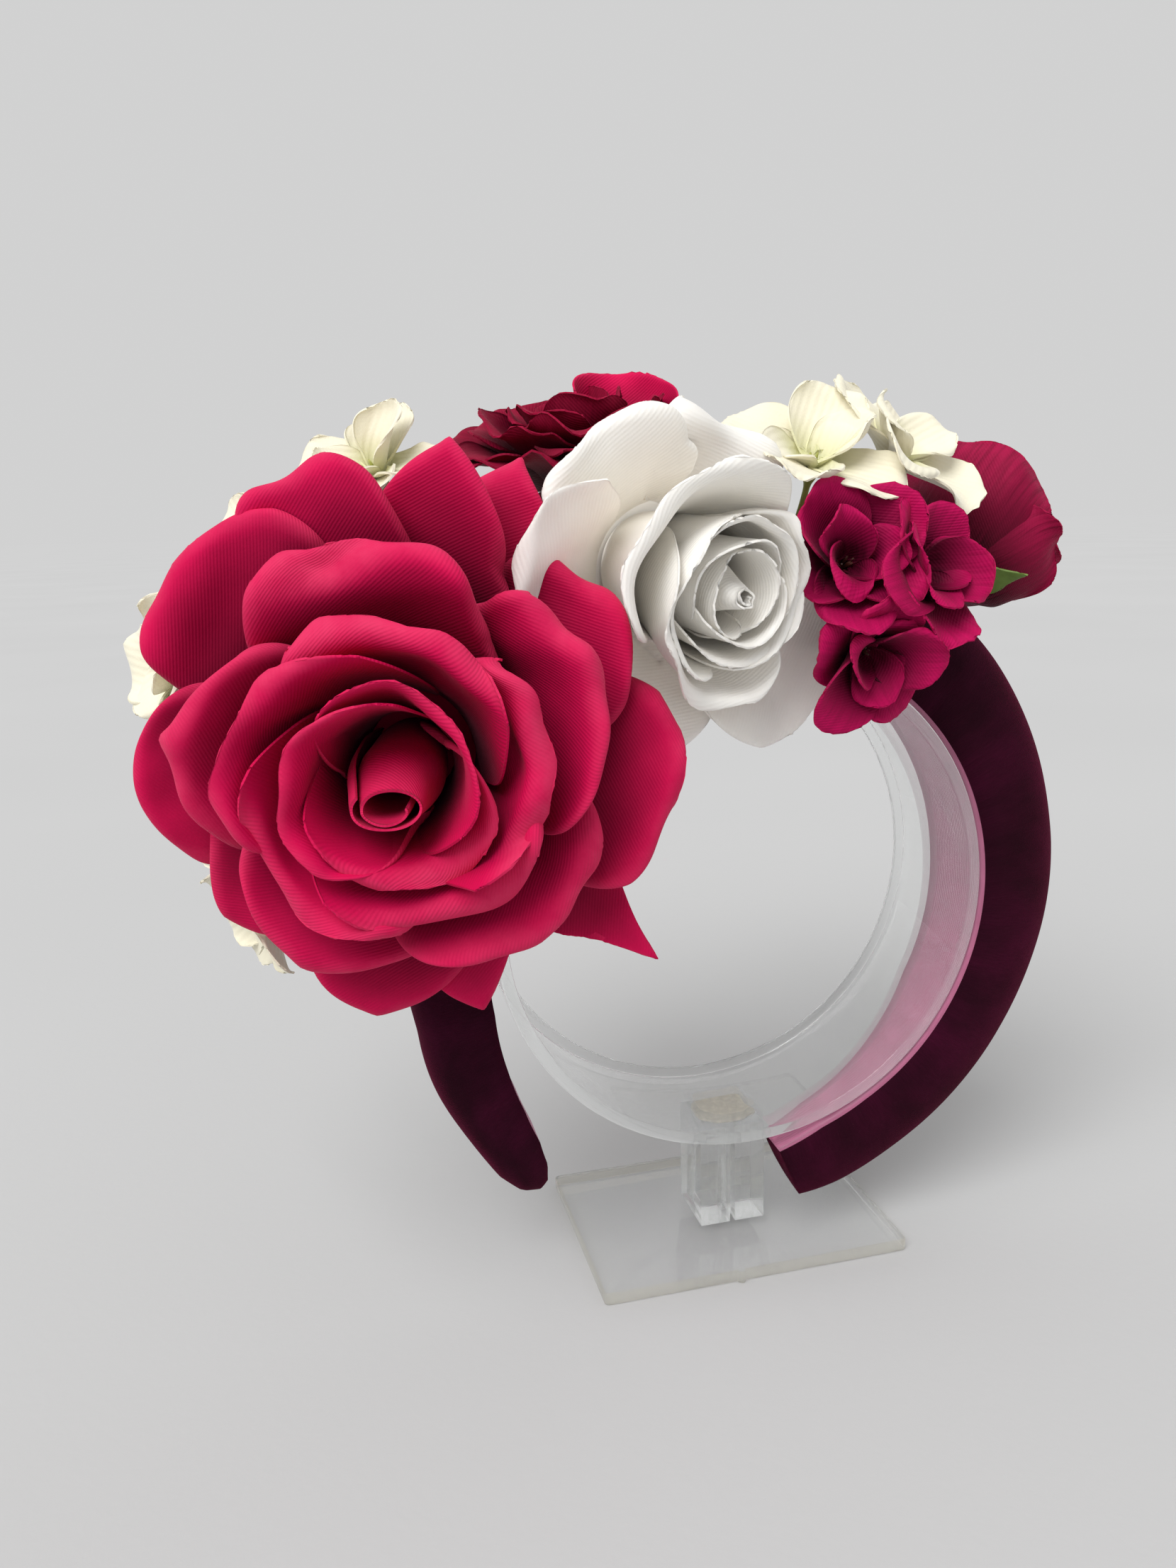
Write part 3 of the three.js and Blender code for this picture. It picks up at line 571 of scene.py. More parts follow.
def cleared(points, matrix, gap):
    """Points of a flower, with those in the bow or behind its front pressed out onto its cover."""
    turn, shift = np.array(matrix.to_3x3()), np.array(matrix.translation)
    x, y, z = np.moveaxis(points @ turn.T + shift, -1, 0)
    clock = np.degrees(np.arctan2(z - RING["centre"], x))
    clock = np.where(clock < BAND_ROWS[-1].angle - 360, clock + 360, clock)
    radius = np.hypot(x, z - RING["centre"])
    inner, thick, front, back = band_row(clock)
    middle, half = (front + back) / 2, (back - front) / 2
    upwards = inner + thick * dome(np.abs(y - middle) / half) + gap - radius
    forwards = y - middle + half * dome((radius - inner) / thick) + gap
    on_bow = (clock >= BAND_ROWS[0].angle) & (y < back) & (upwards > 0) & (forwards > 0)
    over = on_bow & (upwards < forwards)
    grown = np.where(over, 1 + upwards / np.maximum(radius, 1), 1)
    x, z = x * grown, RING["centre"] + (z - RING["centre"]) * grown
    y = np.where(on_bow & ~over, y - forwards, y)
    return (np.stack([x, y, z], -1) - shift) @ turn


# Petals
def slope_line(petal, distance):
    """Radius, height and lean at a distance along a petal, in the plane through the flower's axis."""
    start = math.radians(petal.lean_foot)
    turn = math.radians(petal.lean_tip) - start
    lean = start + turn * distance / petal.length
    bend = petal.length / turn
    radius = petal.foot + bend * (math.cos(start) - np.cos(lean))
    height = FOOT_RISE + CAD_CLOTH / 2 * math.sin(start) + bend * (np.sin(lean) - math.sin(start))
    return radius, height, lean


def petal_wall(petal, name, grid, look, matrix):
    """A petal as a thin wall: hollowed, with a lip rolled back along its rim and frayed threads."""
    outline = OUTLINES[petal.outline]
    seed = seed_of(name)
    steps = np.linspace(-1, 1, grid.across + 1)
    steps = np.sign(steps) * (1 - (1 - np.abs(steps)) ** SIDE_FINENESS)
    across, along = np.meshgrid(steps, 1 - np.linspace(1, 0, grid.along + 1) ** RIM_FINENESS)
    closing = np.maximum(0, (along - WIDEST) / (1 - WIDEST))
    opening = np.sin(math.pi / 2 * np.minimum(1, along / WIDEST))
    spread = FOOT_RATIO + (1 - FOOT_RATIO) * opening - (1 - outline.tip) * closing**2
    half = petal.width / 2
    x = across * half * spread
    y = petal.length * (along - outline.drop * np.abs(across) ** outline.power * along**DROP_RISE)
    flat = np.stack([x, y], -1)
    lift = petal.skew * across * np.minimum(1, along / SKEW_START)
    lift += look.unevenness / MM * wander(seed, x, y, HOLLOW_PITCH) * along
    edge = np.maximum(np.abs(across), along) ** RIPPLE_EDGE * along
    lift += petal.ripple * edge * wander(seed + 1, x, y, RIPPLE_PITCH)

    fall = petal.length * outline.drop * outline.power / (half * outline.tip)
    tilt = np.arctan(fall * np.abs(across) ** (outline.power - 1))
    to_top = petal.length * (1 - along) * np.cos(tilt) + RIM_SOFTNESS
    held = petal.length * np.maximum(0, SIDE_LIP_START - along) + RIM_SOFTNESS
    to_left = half * spread * (1 + across) + held
    to_right = half * spread * (1 - across) + held
    pull_top, pull_left, pull_right = to_top**-2.0, to_left**-2.0, outline.far_side * to_right**-2.0
    nearest = (pull_top + pull_left + pull_right) ** -0.5
    sideways_pull = pull_top * np.sin(tilt) * np.clip(across * TIP_TURN, -1, 1) + pull_right - pull_left
    facing = np.arctan2(sideways_pull, pull_top * np.cos(tilt))
    tucked = (1 - outline.far_side) * np.clip((across - TUCK_START) / (1 - TUCK_START), 0, 1) ** 2
    lip = petal.lip * (1 - tucked) * (1 + LIP_CHANGE * wander(seed + 2, x, y, LIP_PITCH))
    past = np.maximum(0, lip - nearest)
    roll = petal.roll * (1 + ROLL_CHANGE * wander(seed + 3, x, y, ROLL_PITCH))
    rolled = np.minimum(past / roll, look.lip_turn)
    rest = past - rolled * roll
    reach = roll * np.sin(rolled) + rest * np.cos(rolled)
    x = x + np.sin(facing) * (reach - past)
    y = y + np.cos(facing) * (reach - past)
    lift -= roll * (1 - np.cos(rolled)) + rest * np.sin(rolled)
    y[-1] += np.random.default_rng(seed + 4).normal(0, look.fray / MM, grid.across + 1)

    radius, height, lean = slope_line(petal, y)
    cup = 1 / (np.cos(lean) / np.maximum(radius, 1) + 1 / petal.cup)
    sideways = cup * np.sin(x / cup)
    inward = cup * (1 - np.cos(x / cup)) + lift
    outwards = radius - np.cos(lean) * inward
    sine, cosine = math.sin(math.radians(petal.turn)), math.cos(math.radians(petal.turn))
    middle = spread_out(
        outwards * sine + sideways * cosine,
        outwards * cosine - sideways * sine,
        height + np.sin(lean) * inward,
    )
    cloth = look.cloth / MM
    # lip_share steers the painted lip highlight, and 1 - along steers the painted shade towards the foot.
    lip_share = np.clip(rolled / math.radians(90), 0, 1)
    return wall_of(cleared(middle, matrix, 2 * GAP + cloth), cloth, flat, lip_share, 1 - along)


def heart_wall(heart, name, look):
    """The rolled heart of a rose: one strip wound into a drooping cone with an open tip."""
    grid = HEART_GRID
    around, along = np.meshgrid(np.linspace(0, 1, grid.across + 1), np.linspace(0, 1, grid.along + 1))
    clock = 2 * math.pi * heart.turns * around
    belly, crease = HEART["belly"], HEART["crease"]
    swelling = np.sin(math.pi / 2 * np.minimum(1, along / belly))
    tapering = np.maximum(0, (along - belly) / (1 - belly)) ** HEART["taper"]
    radius = heart.foot + (heart.belly - heart.foot) * swelling + (heart.tip - heart.belly) * tapering
    radius = radius * (1 + around ** HEART["winding"]) / 2
    radius = radius + crease * wander(seed_of(name), clock * 4, along * heart.height, 12) * along
    rim = HEART["slant"] * np.sin(clock - 0.6) + crease * wander(seed_of(name) + 1, clock * 5, 0 * clock, 7)
    height = FOOT_RISE + (heart.height + rim) * along
    droop = along ** HEART["droop"]
    below = radius * np.sin(clock) * (1 - heart.squash * droop) + heart.sink * droop
    middle = spread_out(radius * np.cos(clock), -below, height)
    flat = np.stack([clock * heart.tip, height], -1)
    # The heart's lip share steers a painted highlight near its top, and its depth steers a painted shade near
    # its foot.
    return wall_of(middle, look.cloth / MM, flat, 0.6 * along**2, 0.5 * (1 - along))


def flower_matrix(origin, axis):
    """Places a flower: its axis points out of its face, and its clock starts at the top."""
    facing = Vector(axis).normalized()
    above = Vector((0, 1, 0)) if abs(facing.z) > 0.9 else Vector((0, 0, 1))
    up = (above - facing * above.dot(facing)).normalized()
    matrix = Matrix((up.cross(facing), up, facing)).transposed().to_4x4()
    matrix.translation = Vector(origin)
    return matrix


def tube_wall(points, radii, sides):
    """A closed round tube along points, with a radius at each."""
    tangents = np.gradient(points, axis=0)
    tangents /= np.linalg.norm(tangents, axis=1, keepdims=True)
    helper = np.array((0.31, 0.84, 0.44))
    side = np.cross(tangents, helper)
    side /= np.linalg.norm(side, axis=1, keepdims=True)
    other = np.cross(tangents, side)
    clock = full_clock(sides)
    spokes = np.cos(clock)[None, :, None] * side[:, None] + np.sin(clock)[None, :, None] * other[:, None]
    rings = points[:, None] + np.asarray(radii, float)[:, None, None] * spokes
    solid, body, caps = lofted(rings)
    run = np.concatenate([[0], np.cumsum(np.linalg.norm(np.diff(points, axis=0), axis=1))])
    flat = np.concatenate([spread_out(clock[None] * 2, run[:, None]).reshape(-1, 2), np.zeros((2, 2))])
    level = np.concatenate([np.repeat(run / run[-1], sides), [0, 1]])
    return Wall(solid, body, caps, flat, level, np.zeros(len(solid)))


def stem_wall(start, back, seat, radii, sides):
    """A stem that leaves a flower along its axis and bends to its seat on the bow."""
    share = np.linspace(0, 1, len(radii))[:, None]
    leave, bend = np.array((0, 0, start)), np.array((0, 0, back))
    curve = (1 - share) ** 2 * leave + 2 * share * (1 - share) * bend + share**2 * np.array(seat)
    return tube_wall(curve, radii, sides)


# Finishes
class Finish:
    """A material and short ways to add its nodes."""

    def __init__(self, name, **sockets):
        self.material = bpy.data.materials.new(name)
        self.material.use_nodes = True
        self.tree = self.material.node_tree
        self.shader = self.tree.nodes["Principled BSDF"]
        for socket, value in sockets.items():
            title = socket.replace("_", " ").title().replace("Ior", "IOR")
            self.shader.inputs[title].default_value = value

    def node(self, kind, links=None, **values):
        """A node with its settings, and its inputs from links or constants."""
        node = self.tree.nodes.new(kind)
        for key, value in values.items():
            setattr(node, key, value)
        for key, value in (links or {}).items():
            socket = node.inputs[key]
            if isinstance(value, bpy.types.NodeSocket):
                self.tree.links.new(value, socket)
            else:
                socket.default_value = value
        return node

    def attribute(self, name):
        return self.node("ShaderNodeAttribute", attribute_name=name).outputs["Fac"]

    def mapped(self, where, **changes):
        links = {key.title(): value for key, value in changes.items()}
        return self.node("ShaderNodeMapping", {"Vector": where, **links}).outputs["Vector"]

    def weave_places(self, turn=0.0):
        """Places on the flat cut of the cloth, in millimetres, turned by an angle in degrees."""
        where = self.node("ShaderNodeUVMap", uv_map=WEAVE_MAP).outputs["UV"]
        return self.mapped(where, rotation=(0, 0, math.radians(turn)))

    def solid_places(self):
        return self.node("ShaderNodeTexCoord").outputs["Object"]

    def noise(self, where, scale, detail=4.0, roughness=0.55):
        links = {"Vector": where, "Scale": scale, "Detail": detail, "Roughness": roughness}
        return self.node("ShaderNodeTexNoise", links).outputs["Fac"]

    def lines(self, where, pitch, distortion=0.0):
        """Fine parallel lines, pitch apart."""
        links = {"Vector": where, "Scale": math.pi / 10 / pitch, "Distortion": distortion, "Detail": 2.0}
        return self.node("ShaderNodeTexWave", links, wave_type="BANDS", bands_direction="X").outputs["Fac"]

    def ramp(self, value, low, high, to_low=0.0, to_high=1.0):
        links = {"Value": value, "From Min": low, "From Max": high, "To Min": to_low, "To Max": to_high}
        return self.node("ShaderNodeMapRange", links).outputs["Result"]

    def math(self, first, second, operation="ADD"):
        return self.node("ShaderNodeMath", {0: first, 1: second}, operation=operation).outputs["Value"]

    def mix(self, share, first, second):
        links = {0: share}
        for key, value in ((6, first), (7, second)):
            links[key] = (*value, 1) if isinstance(value, tuple) else value
        return self.node("ShaderNodeMix", links, data_type="RGBA").outputs[2]

    def colour(self, value):
        self.tree.links.new(value, self.shader.inputs["Base Color"])

    def gloss(self, value, low, high, to_low, to_high):
        """Roughness between two amounts, by a value."""
        self.tree.links.new(self.ramp(value, low, high, to_low, to_high), self.shader.inputs["Roughness"])

    def relief(self, height, depth, strength=1.0):
        """Bumps of a depth in millimetres."""
        links = {"Height": height, "Distance": depth * MM, "Strength": strength}
        bump = self.node("ShaderNodeBump", links).outputs["Normal"]
        self.tree.links.new(bump, self.shader.inputs["Normal"])


def shade(colour, factor):
    return tuple(min(1.0, value * factor) for value in colour)


def petal_cloth(name, colour, lip_colour, sheen_tint, veins=0.0):
    """Brushed twill: fine slanting ribs, painted shade towards the petal's foot, painted highlights on the
    rolled lips and pressed veins.
    """
    tint = (*sheen_tint, 1)
    finish = Finish(name, sheen_weight=0.12, sheen_roughness=0.3, sheen_tint=tint, specular_ior_level=0.1)
    cut = finish.weave_places()
    nap = finish.noise(cut, 1.6, 5.0, 0.7)
    clouds = finish.ramp(finish.noise(cut, 0.07, 3.0), 0.3, 0.7)
    base = finish.mix(clouds, shade(colour, 0.85), shade(colour, 1.12))
    base = finish.mix(finish.ramp(nap, 0.35, 0.75, 0.0, 0.25), base, shade(colour, 0.7))
    # Painted shade: the colour darkens to a tenth of itself towards the petal's foot, where the folds lie in
    # shade.
    fold_shade = finish.ramp(finish.attribute("depth"), 0.08, 0.65, 0.0, 0.97)
    base = finish.mix(fold_shade, base, shade(colour, 0.1))
    drawn_out = finish.mapped(cut, scale=(0.8, 0.05, 1))
    pressed = finish.ramp(finish.noise(drawn_out, 1.0, 3.0, 0.6), 0.42, 0.68)
    if veins:
        base = finish.mix(finish.math(pressed, veins, "MULTIPLY"), base, shade(colour, 0.4))
    # Painted highlight: the rolled lips turn towards a paler lip colour, in patches, where they catch the
    # light.
    highlight_patches = finish.ramp(finish.noise(cut, 0.16), 0.3, 0.6, 0.45, 1.0)
    lip_highlight = finish.math(finish.attribute("lip"), highlight_patches, "MULTIPLY")
    finish.colour(finish.mix(finish.ramp(lip_highlight, 0.15, 1.0, 0.0, 0.75), base, tuple(lip_colour)))
    finish.gloss(nap, 0.2, 0.8, 0.58, 0.78)
    twill = finish.lines(finish.weave_places(52), 0.6, 0.4)
    grooves = finish.math(pressed, 4 * veins, "MULTIPLY")
    finish.relief(finish.math(finish.math(twill, nap), grooves, "SUBTRACT"), 0.09, 0.6)
    return finish.material


def satin_cloth(colour):
    """White satin: soft gloss, fine ribs across the petal, and a painted warm shade in the folds towards the
    petal's foot.
    """
    finish = Finish(
        "white_satin",
        sheen_weight=0.2,
        sheen_roughness=0.35,
        specular_ior_level=0.45,
        subsurface_weight=0.35,
        subsurface_scale=2.0 * MM,
        subsurface_radius=(1.0, 0.95, 0.85),
    )
    cut = finish.weave_places()
    clouds = finish.ramp(finish.noise(cut, 0.1, 3.0), 0.3, 0.7)
    # Painted shade: a warm tint that grows towards the petal's foot, in the folds.
    fold_shade = finish.ramp(finish.attribute("depth"), 0.2, 1.0, 0.0, 0.6)
    finish.colour(finish.mix(fold_shade, finish.mix(clouds, shade(colour, 0.95), tuple(colour)), WARM_FOLD_SHADE))
    finish.gloss(finish.noise(cut, 0.8), 0.3, 0.7, 0.4, 0.56)
    ribs = finish.lines(finish.weave_places(78), 0.75, 0.8)
    finish.relief(finish.math(ribs, finish.noise(cut, 2.5)), 0.08, 0.5)
    return finish.material


def ivory_cloth(colour):
    """Thin ivory cloth with pressed veins and a green blush at the centre."""
    finish = Finish("ivory_cloth", sheen_weight=0.3, sheen_roughness=0.5, specular_ior_level=0.25)
    cut = finish.weave_places()
    blush = finish.ramp(finish.attribute("depth"), 0.5, 1.0, 0.0, 0.6)
    mottled = finish.mix(finish.noise(cut, 0.3), shade(colour, 0.93), tuple(colour))
    finish.colour(finish.mix(blush, mottled, GREEN_BLUSH))
    finish.gloss(finish.noise(cut, 1.1), 0.3, 0.7, 0.55, 0.75)
    finish.relief(finish.math(finish.lines(cut, 1.7, 1.6), finish.noise(cut, 2.0)), 0.12, 0.6)
    return finish.material


def leaf_cloth(name, colour):
    """Waxed green of cups, stems and sepals."""
    finish = Finish(name, specular_ior_level=0.4)
    where = finish.solid_places()
    mottle = finish.ramp(finish.noise(where, 160), 0.35, 0.65)
    finish.colour(finish.mix(mottle, shade(colour, 0.6), tuple(colour)))
    finish.gloss(finish.noise(where, 500), 0.3, 0.7, 0.45, 0.65)
    finish.relief(finish.noise(where, 900), 0.15, 0.5)
    return finish.material


def velvet_cloth(colour, pile_sheen):
    """Cut pile: near black seen straight on, redder where the pile leans into the light."""
    finish = Finish(
        "velvet",
        sheen_weight=1.0,
        sheen_roughness=0.32,
        sheen_tint=(*pile_sheen, 1),
        specular_ior_level=0.08,
    )
    cut = finish.weave_places()
    brushed = finish.ramp(finish.noise(cut, 0.05, 3.0), 0.35, 0.7)
    pile = finish.noise(finish.mapped(cut, scale=(2.6, 0.5, 1)), 1.0, 6.0, 0.75)
    base = finish.mix(brushed, shade(colour, 0.5), shade(colour, 2.0))
    finish.colour(finish.mix(finish.ramp(pile, 0.3, 0.75, 0.0, 0.6), base, shade(colour, 0.4)))
    finish.gloss(pile, 0.2, 0.8, 0.75, 0.95)
    finish.relief(finish.math(pile, finish.noise(cut, 3.5, 3.0)), 0.25, 0.8)
    return finish.material


def lining_ribbon(colour):
    """Matt ribbon with cross ribs."""
    finish = Finish("band_lining", sheen_weight=0.3, sheen_roughness=0.5, specular_ior_level=0.2)
    cut = finish.weave_places()
    faded = finish.ramp(finish.noise(cut, 0.12), 0.3, 0.7)
    finish.colour(finish.mix(faded, shade(colour, 0.85), shade(colour, 1.1)))
    finish.gloss(finish.noise(cut, 0.9), 0.3, 0.7, 0.6, 0.8)
    finish.relief(finish.lines(finish.weave_places(90), 0.8), 0.1, 0.6)
    return finish.material


def clear_plastic(name, colour, haze, body):
    """Clear acrylic with a faint haze of handling marks. body is how solid it looks."""
    finish = Finish(name, transmission_weight=1.0, ior=1.49, specular_ior_level=0.5, alpha=body)
    where = finish.solid_places()
    marks = finish.noise(where, 35, 5.0, 0.65)
    finish.colour(finish.mix(finish.ramp(marks, 0.4, 0.7), shade(colour, 0.985), tuple(colour)))
    finish.gloss(marks, 0.35, 0.75, 0.01, haze)
    finish.relief(finish.noise(where, 18, 2.0), 0.05, 0.25)
    return finish.material


def dried_glue(colour):
    """Cloudy glue with small bubbles."""
    finish = Finish("cloudy_glue", specular_ior_level=0.45, transmission_weight=0.35, ior=1.45)
    where = finish.solid_places()
    bubbles = finish.node("ShaderNodeTexVoronoi", {"Vector": where, "Scale": 700.0}).outputs["Distance"]
    finish.colour(finish.mix(finish.ramp(bubbles, 0.1, 0.6), shade(colour, 1.15), shade(colour, 0.8)))
    finish.gloss(finish.noise(where, 300), 0.3, 0.7, 0.3, 0.55)
    finish.relief(bubbles, 0.2, 0.6)
    return finish.material


def pale_floor(colour):
    """Matt floor with faint clouds."""
    finish = Finish("pale_floor", specular_ior_level=0.0)
    where = finish.solid_places()
    clouds = finish.ramp(finish.noise(where, 2.2, 2.0), 0.3, 0.7)
    finish.colour(finish.mix(clouds, shade(colour, 0.97), tuple(colour)))
    finish.gloss(finish.noise(where, 60), 0.3, 0.7, 0.7, 0.85)
    finish.relief(finish.noise(where, 400, 3.0), 0.15, 0.3)
    return finish.material


# Operators
class HEADBAND_OT_stage(Operator):
    """Make the floor, the soft light and the camera at the photograph's place"""

    bl_idname = "headband.stage"
    bl_label = "Stage"

    def execute(self, context):
        look = context.scene.headband_stage
        clock = full_clock(FLOOR_SIDES)
        radius = look.floor_reach / MM * FLOOR_RINGS[:, None]
        rings = spread_out(radius * np.cos(clock), radius * np.sin(clock), -FLOOR_DROP)
        faces = grid_faces(*rings.shape[:2], True, True).tolist() + [list(range(FLOOR_SIDES))]
        level = [0] * len(faces)
        mesh = new_mesh("floor", rings.reshape(-1, 3), faces, [pale_floor(look.floor)], level, level)
        floor = bpy.data.objects.new("floor", mesh)

        world = bpy.data.worlds.new("studio")
        world.use_nodes = True
        background = world.node_tree.nodes["Background"].inputs
        background["Color"].default_value = (1, 1, 1, 1)
        background["Strength"].default_value = look.surroundings
        context.scene.world = world
        key = bpy.data.lights.new("key", "SUN")
        key.energy = look.key_strength
        key.angle = look.key_softness
        lamp = bpy.data.objects.new("key", key)
        lamp.rotation_euler = Vector(KEY_DIRECTION).to_track_quat("-Z", "Y").to_euler()

        lens = bpy.data.cameras.new("camera")
        lens.sensor_width = SENSOR_WIDTH
        lens.lens = SENSOR_WIDTH * FOCAL_PIXELS / PHOTO_HEIGHT
        lens.clip_start = NEAREST_SEEN
        camera = bpy.data.objects.new("camera", lens)
        yaw = Matrix.Rotation(-CAMERA_YAW, 4, "Z")
        pitch = Matrix.Rotation(math.pi / 2 - CAMERA_PITCH, 4, "X")
        roll = Matrix.Rotation(CAMERA_ROLL, 4, "Z")
        camera.matrix_world = Matrix.Translation(Vector(CAMERA_PLACE) * MM) @ yaw @ pitch @ roll
        for thing in (floor, lamp, camera):
            context.scene.collection.objects.link(thing)
        context.scene.camera = camera
        context.scene.view_settings.view_transform = "Standard"
        return {"FINISHED"}


def rounded_corners(corners, radius, steps=5):
    """Quarter circles round four corner centres, from the lower right one on, the opposite way to a clock."""
    outline = []
    for quarter, (x, y) in enumerate(corners):
        for turn in np.linspace(0, math.pi / 2, steps) + math.pi / 2 * (quarter - 1):
            outline.append((x + radius * math.cos(turn), y + radius * math.sin(turn)))
    return outline


def rounded_block(outline, bottom, top, rounding):
    """An upright block over a closed outline, with its rims rounded off, as rings of points."""
    outline = np.array(outline, float)
    before, after = outline - np.roll(outline, 1, 0), np.roll(outline, -1, 0) - outline
    outward = [np.stack([side[:, 1], -side[:, 0]], -1) for side in (before, after)]
    outward = [side / np.linalg.norm(side, axis=1, keepdims=True) for side in outward]
    corner = outward[0] + outward[1]
    corner /= np.maximum((corner * outward[0]).sum(1, keepdims=True), 0.2)
    steps = np.linspace(0, math.pi / 2, 4)
    inset = rounding * (1 - np.sin(steps))
    rise = rounding * (1 - np.cos(steps))
    levels = list(zip(inset, bottom + rise)) + list(zip(inset[::-1], top - rise[::-1]))
    return np.stack([np.insert(outline - corner * i, 2, z, axis=1) for i, z in levels])


def add_hard_piece(name, points, faces, materials, marks, node, flat_ends=0):
    """A piece of the stand, with crisp rims. Its last faces may be flat ends."""
    smooth = [True] * (len(faces) - flat_ends) + [False] * flat_ends
    mesh = new_mesh(name, points, faces, materials, marks, smooth)
    mesh.set_sharp_from_angle(angle=CRISP_ANGLE)
    placed(mesh, node)


def add_block(name, outline, bottom, top, rounding, materials, node):
    """A block whose sides take the last finish and whose two ends take the first."""
    rings = rounded_block(outline, bottom, top, rounding)
    rows, columns = rings.shape[:2]
    sides = grid_faces(rows, columns, False, True).tolist()
    ends = [list(range(columns))[::-1], list(range((rows - 1) * columns, rows * columns))]
    marks = [len(materials) - 1] * len(sides) + [0, 0]
    add_hard_piece(name, rings.reshape(-1, 3), sides + ends, materials, marks, node, len(ends))


class HEADBAND_OT_stand(Operator):
    """Make the clear plate, its post, the glue pad and the ring"""

    bl_idname = "headband.stand"
    bl_label = "Clear stand"

    def execute(self, context):
        look = context.scene.headband_stand
        clear = clear_plastic("clear_acrylic", look.clear, haze=0.06, body=0.75)
        sheet = clear_plastic("clear_sheet", look.clear, haze=0.05, body=0.3)
        rim = clear_plastic("polished_rim", look.clear, haze=0.3, body=0.85)
        edge = clear_plastic("cut_edge", look.cut_edge, haze=0.22, body=0.6)
        glue = dried_glue(look.glue)

        front, corner, thickness = BASE["depth"] / 2, BASE["corner"], BASE["thickness"]
        x, y = BASE["width"] / 2 - corner, front - corner
        plate = rounded_corners(((x, -y), (x, y), (-x, y), (-x, -y)), corner)
        for turn in np.linspace(0, math.pi, NUB["points"]):
            plate.append((NUB["x"] - NUB["radius"] * math.cos(turn), -front - NUB["radius"] * math.sin(turn)))
        add_block("plate", plate, 0, thickness, BASE["rounding"], [sheet, edge], "stand_base")

        x, y = POST["width"] / 2, POST["depth"] / 2
        groove, floor = POST["slot_width"] / 2, POST["depth"] / 2 - POST["slot_depth"]
        half = [(-x, -y), (-groove, -y), (-groove, -floor), (groove, -floor), (groove, -y), (x, -y)]
        outline = half + [(-a, -b) for a, b in half]
        top = RING["centre"] - RING["outer"] - 2 * GAP - GLUE["thickness"]
        add_block("post", outline, thickness + GAP, top, POST["rounding"], [clear], "stand_post")

        around = full_clock(GLUE["sides"])
        width, depth = (GLUE[side] / 2 for side in ("width", "depth"))
        x, y = (bent(wave(around), GLUE_SQUARENESS) for wave in (np.cos, np.sin))
        pad = spread_out(width * x, depth * y)
        pad *= 1 - GLUE["shrink"] * (1 + wander(seed_of("glue"), around * 3, 0 * around, 4))[:, None]
        lower = top + GAP
        upper = lower + GLUE["thickness"]
        add_block("glue_pad", pad, lower, upper, GLUE["rounding"], [glue], "stand_glue")

        rounding, half = RING["rounding"], RING["depth"] / 2 - RING["rounding"]
        outer, inner = RING["outer"] - rounding, RING["outer"] - RING["wall"] + rounding
        corners = ((outer, -half), (outer, half), (inner, half), (inner, -half))
        radius, along = np.array(rounded_corners(corners, rounding)).T
        rings = round_ring(radius, along, full_clock(RING["facets"])[:, None])
        facets, count = rings.shape[:2]
        faces = grid_faces(facets + 1, count, False, True) % (facets * count)
        quarter = count // 4
        walls = np.isin(np.arange(len(faces)) % count, (quarter - 1, 3 * quarter - 1)).astype(int)
        add_hard_piece("ring", rings.reshape(-1, 3), faces.tolist(), [rim, sheet], walls, "stand_ring")
        return {"FINISHED"}


class HEADBAND_OT_velvet_band(Operator):
    """Make the padded velvet bow and the ribbon that lines it"""

    bl_idname = "headband.velvet_band"
    bl_label = "Velvet bow"

    def execute(self, context):
        look = context.scene.headband_band
        first, last = BAND_ROWS[0].angle, BAND_ROWS[-1].angle
        angles = np.linspace(first, last, BAND_STEPS + 1)[:, None]
        inner, thick, front, back = band_row(angles)
        clock = np.linspace(0, math.pi, BAND_ARC_POINTS)
        middle, half = (front + back) / 2, (back - front) / 2
        y = middle - half * bent(np.cos(clock), 2 / BAND_CORNER)
        rise = thick * bent(np.sin(clock), 2 / BAND_CORNER)
        dents = wander(seed_of("velvet"), angles * DENT_TURN, y, DENT_PITCH) * DENT_DEPTH
        slant = END_SLANT * np.maximum(0, 1 - (angles - first) / SLANT_REACH)
        turn = np.radians(angles)
        cover = round_ring(inner + rise + dents * np.sin(clock), y, np.radians(angles + slant * rise / thick))
        under_y = middle + half * np.linspace(1, -1, LINING_POINTS + 2)[1:-1]
        lining = round_ring(inner, under_y, turn)
        points, faces, caps = lofted(np.concatenate([cover, lining], 1))
        cover_flat = spread_out(turn * COVER_RADIUS, clock * COVER_GIRTH)
        lining_flat = spread_out(turn * LINING_RADIUS, under_y)
        flat = np.concatenate([cover_flat, lining_flat], 1).reshape(-1, 2)
        flat = np.concatenate([flat, np.zeros((2, 2))])
        zero = np.zeros(len(points))
        wall = Wall(points, np.concatenate([faces, caps]), caps[:0], flat, zero, zero)
        columns = BAND_ARC_POINTS + LINING_POINTS
        lined = (np.arange(len(faces)) % columns >= BAND_ARC_POINTS - 1).astype(int)
        marks = np.concatenate([lined, np.zeros(len(caps), int)])
        finishes = [velvet_cloth(look.velvet, look.pile_sheen), lining_ribbon(look.lining)]
        band = add_piece("velvet_bow", wall, Matrix(), finishes, "velvet_band", marks)
        return {"FINISHED"}


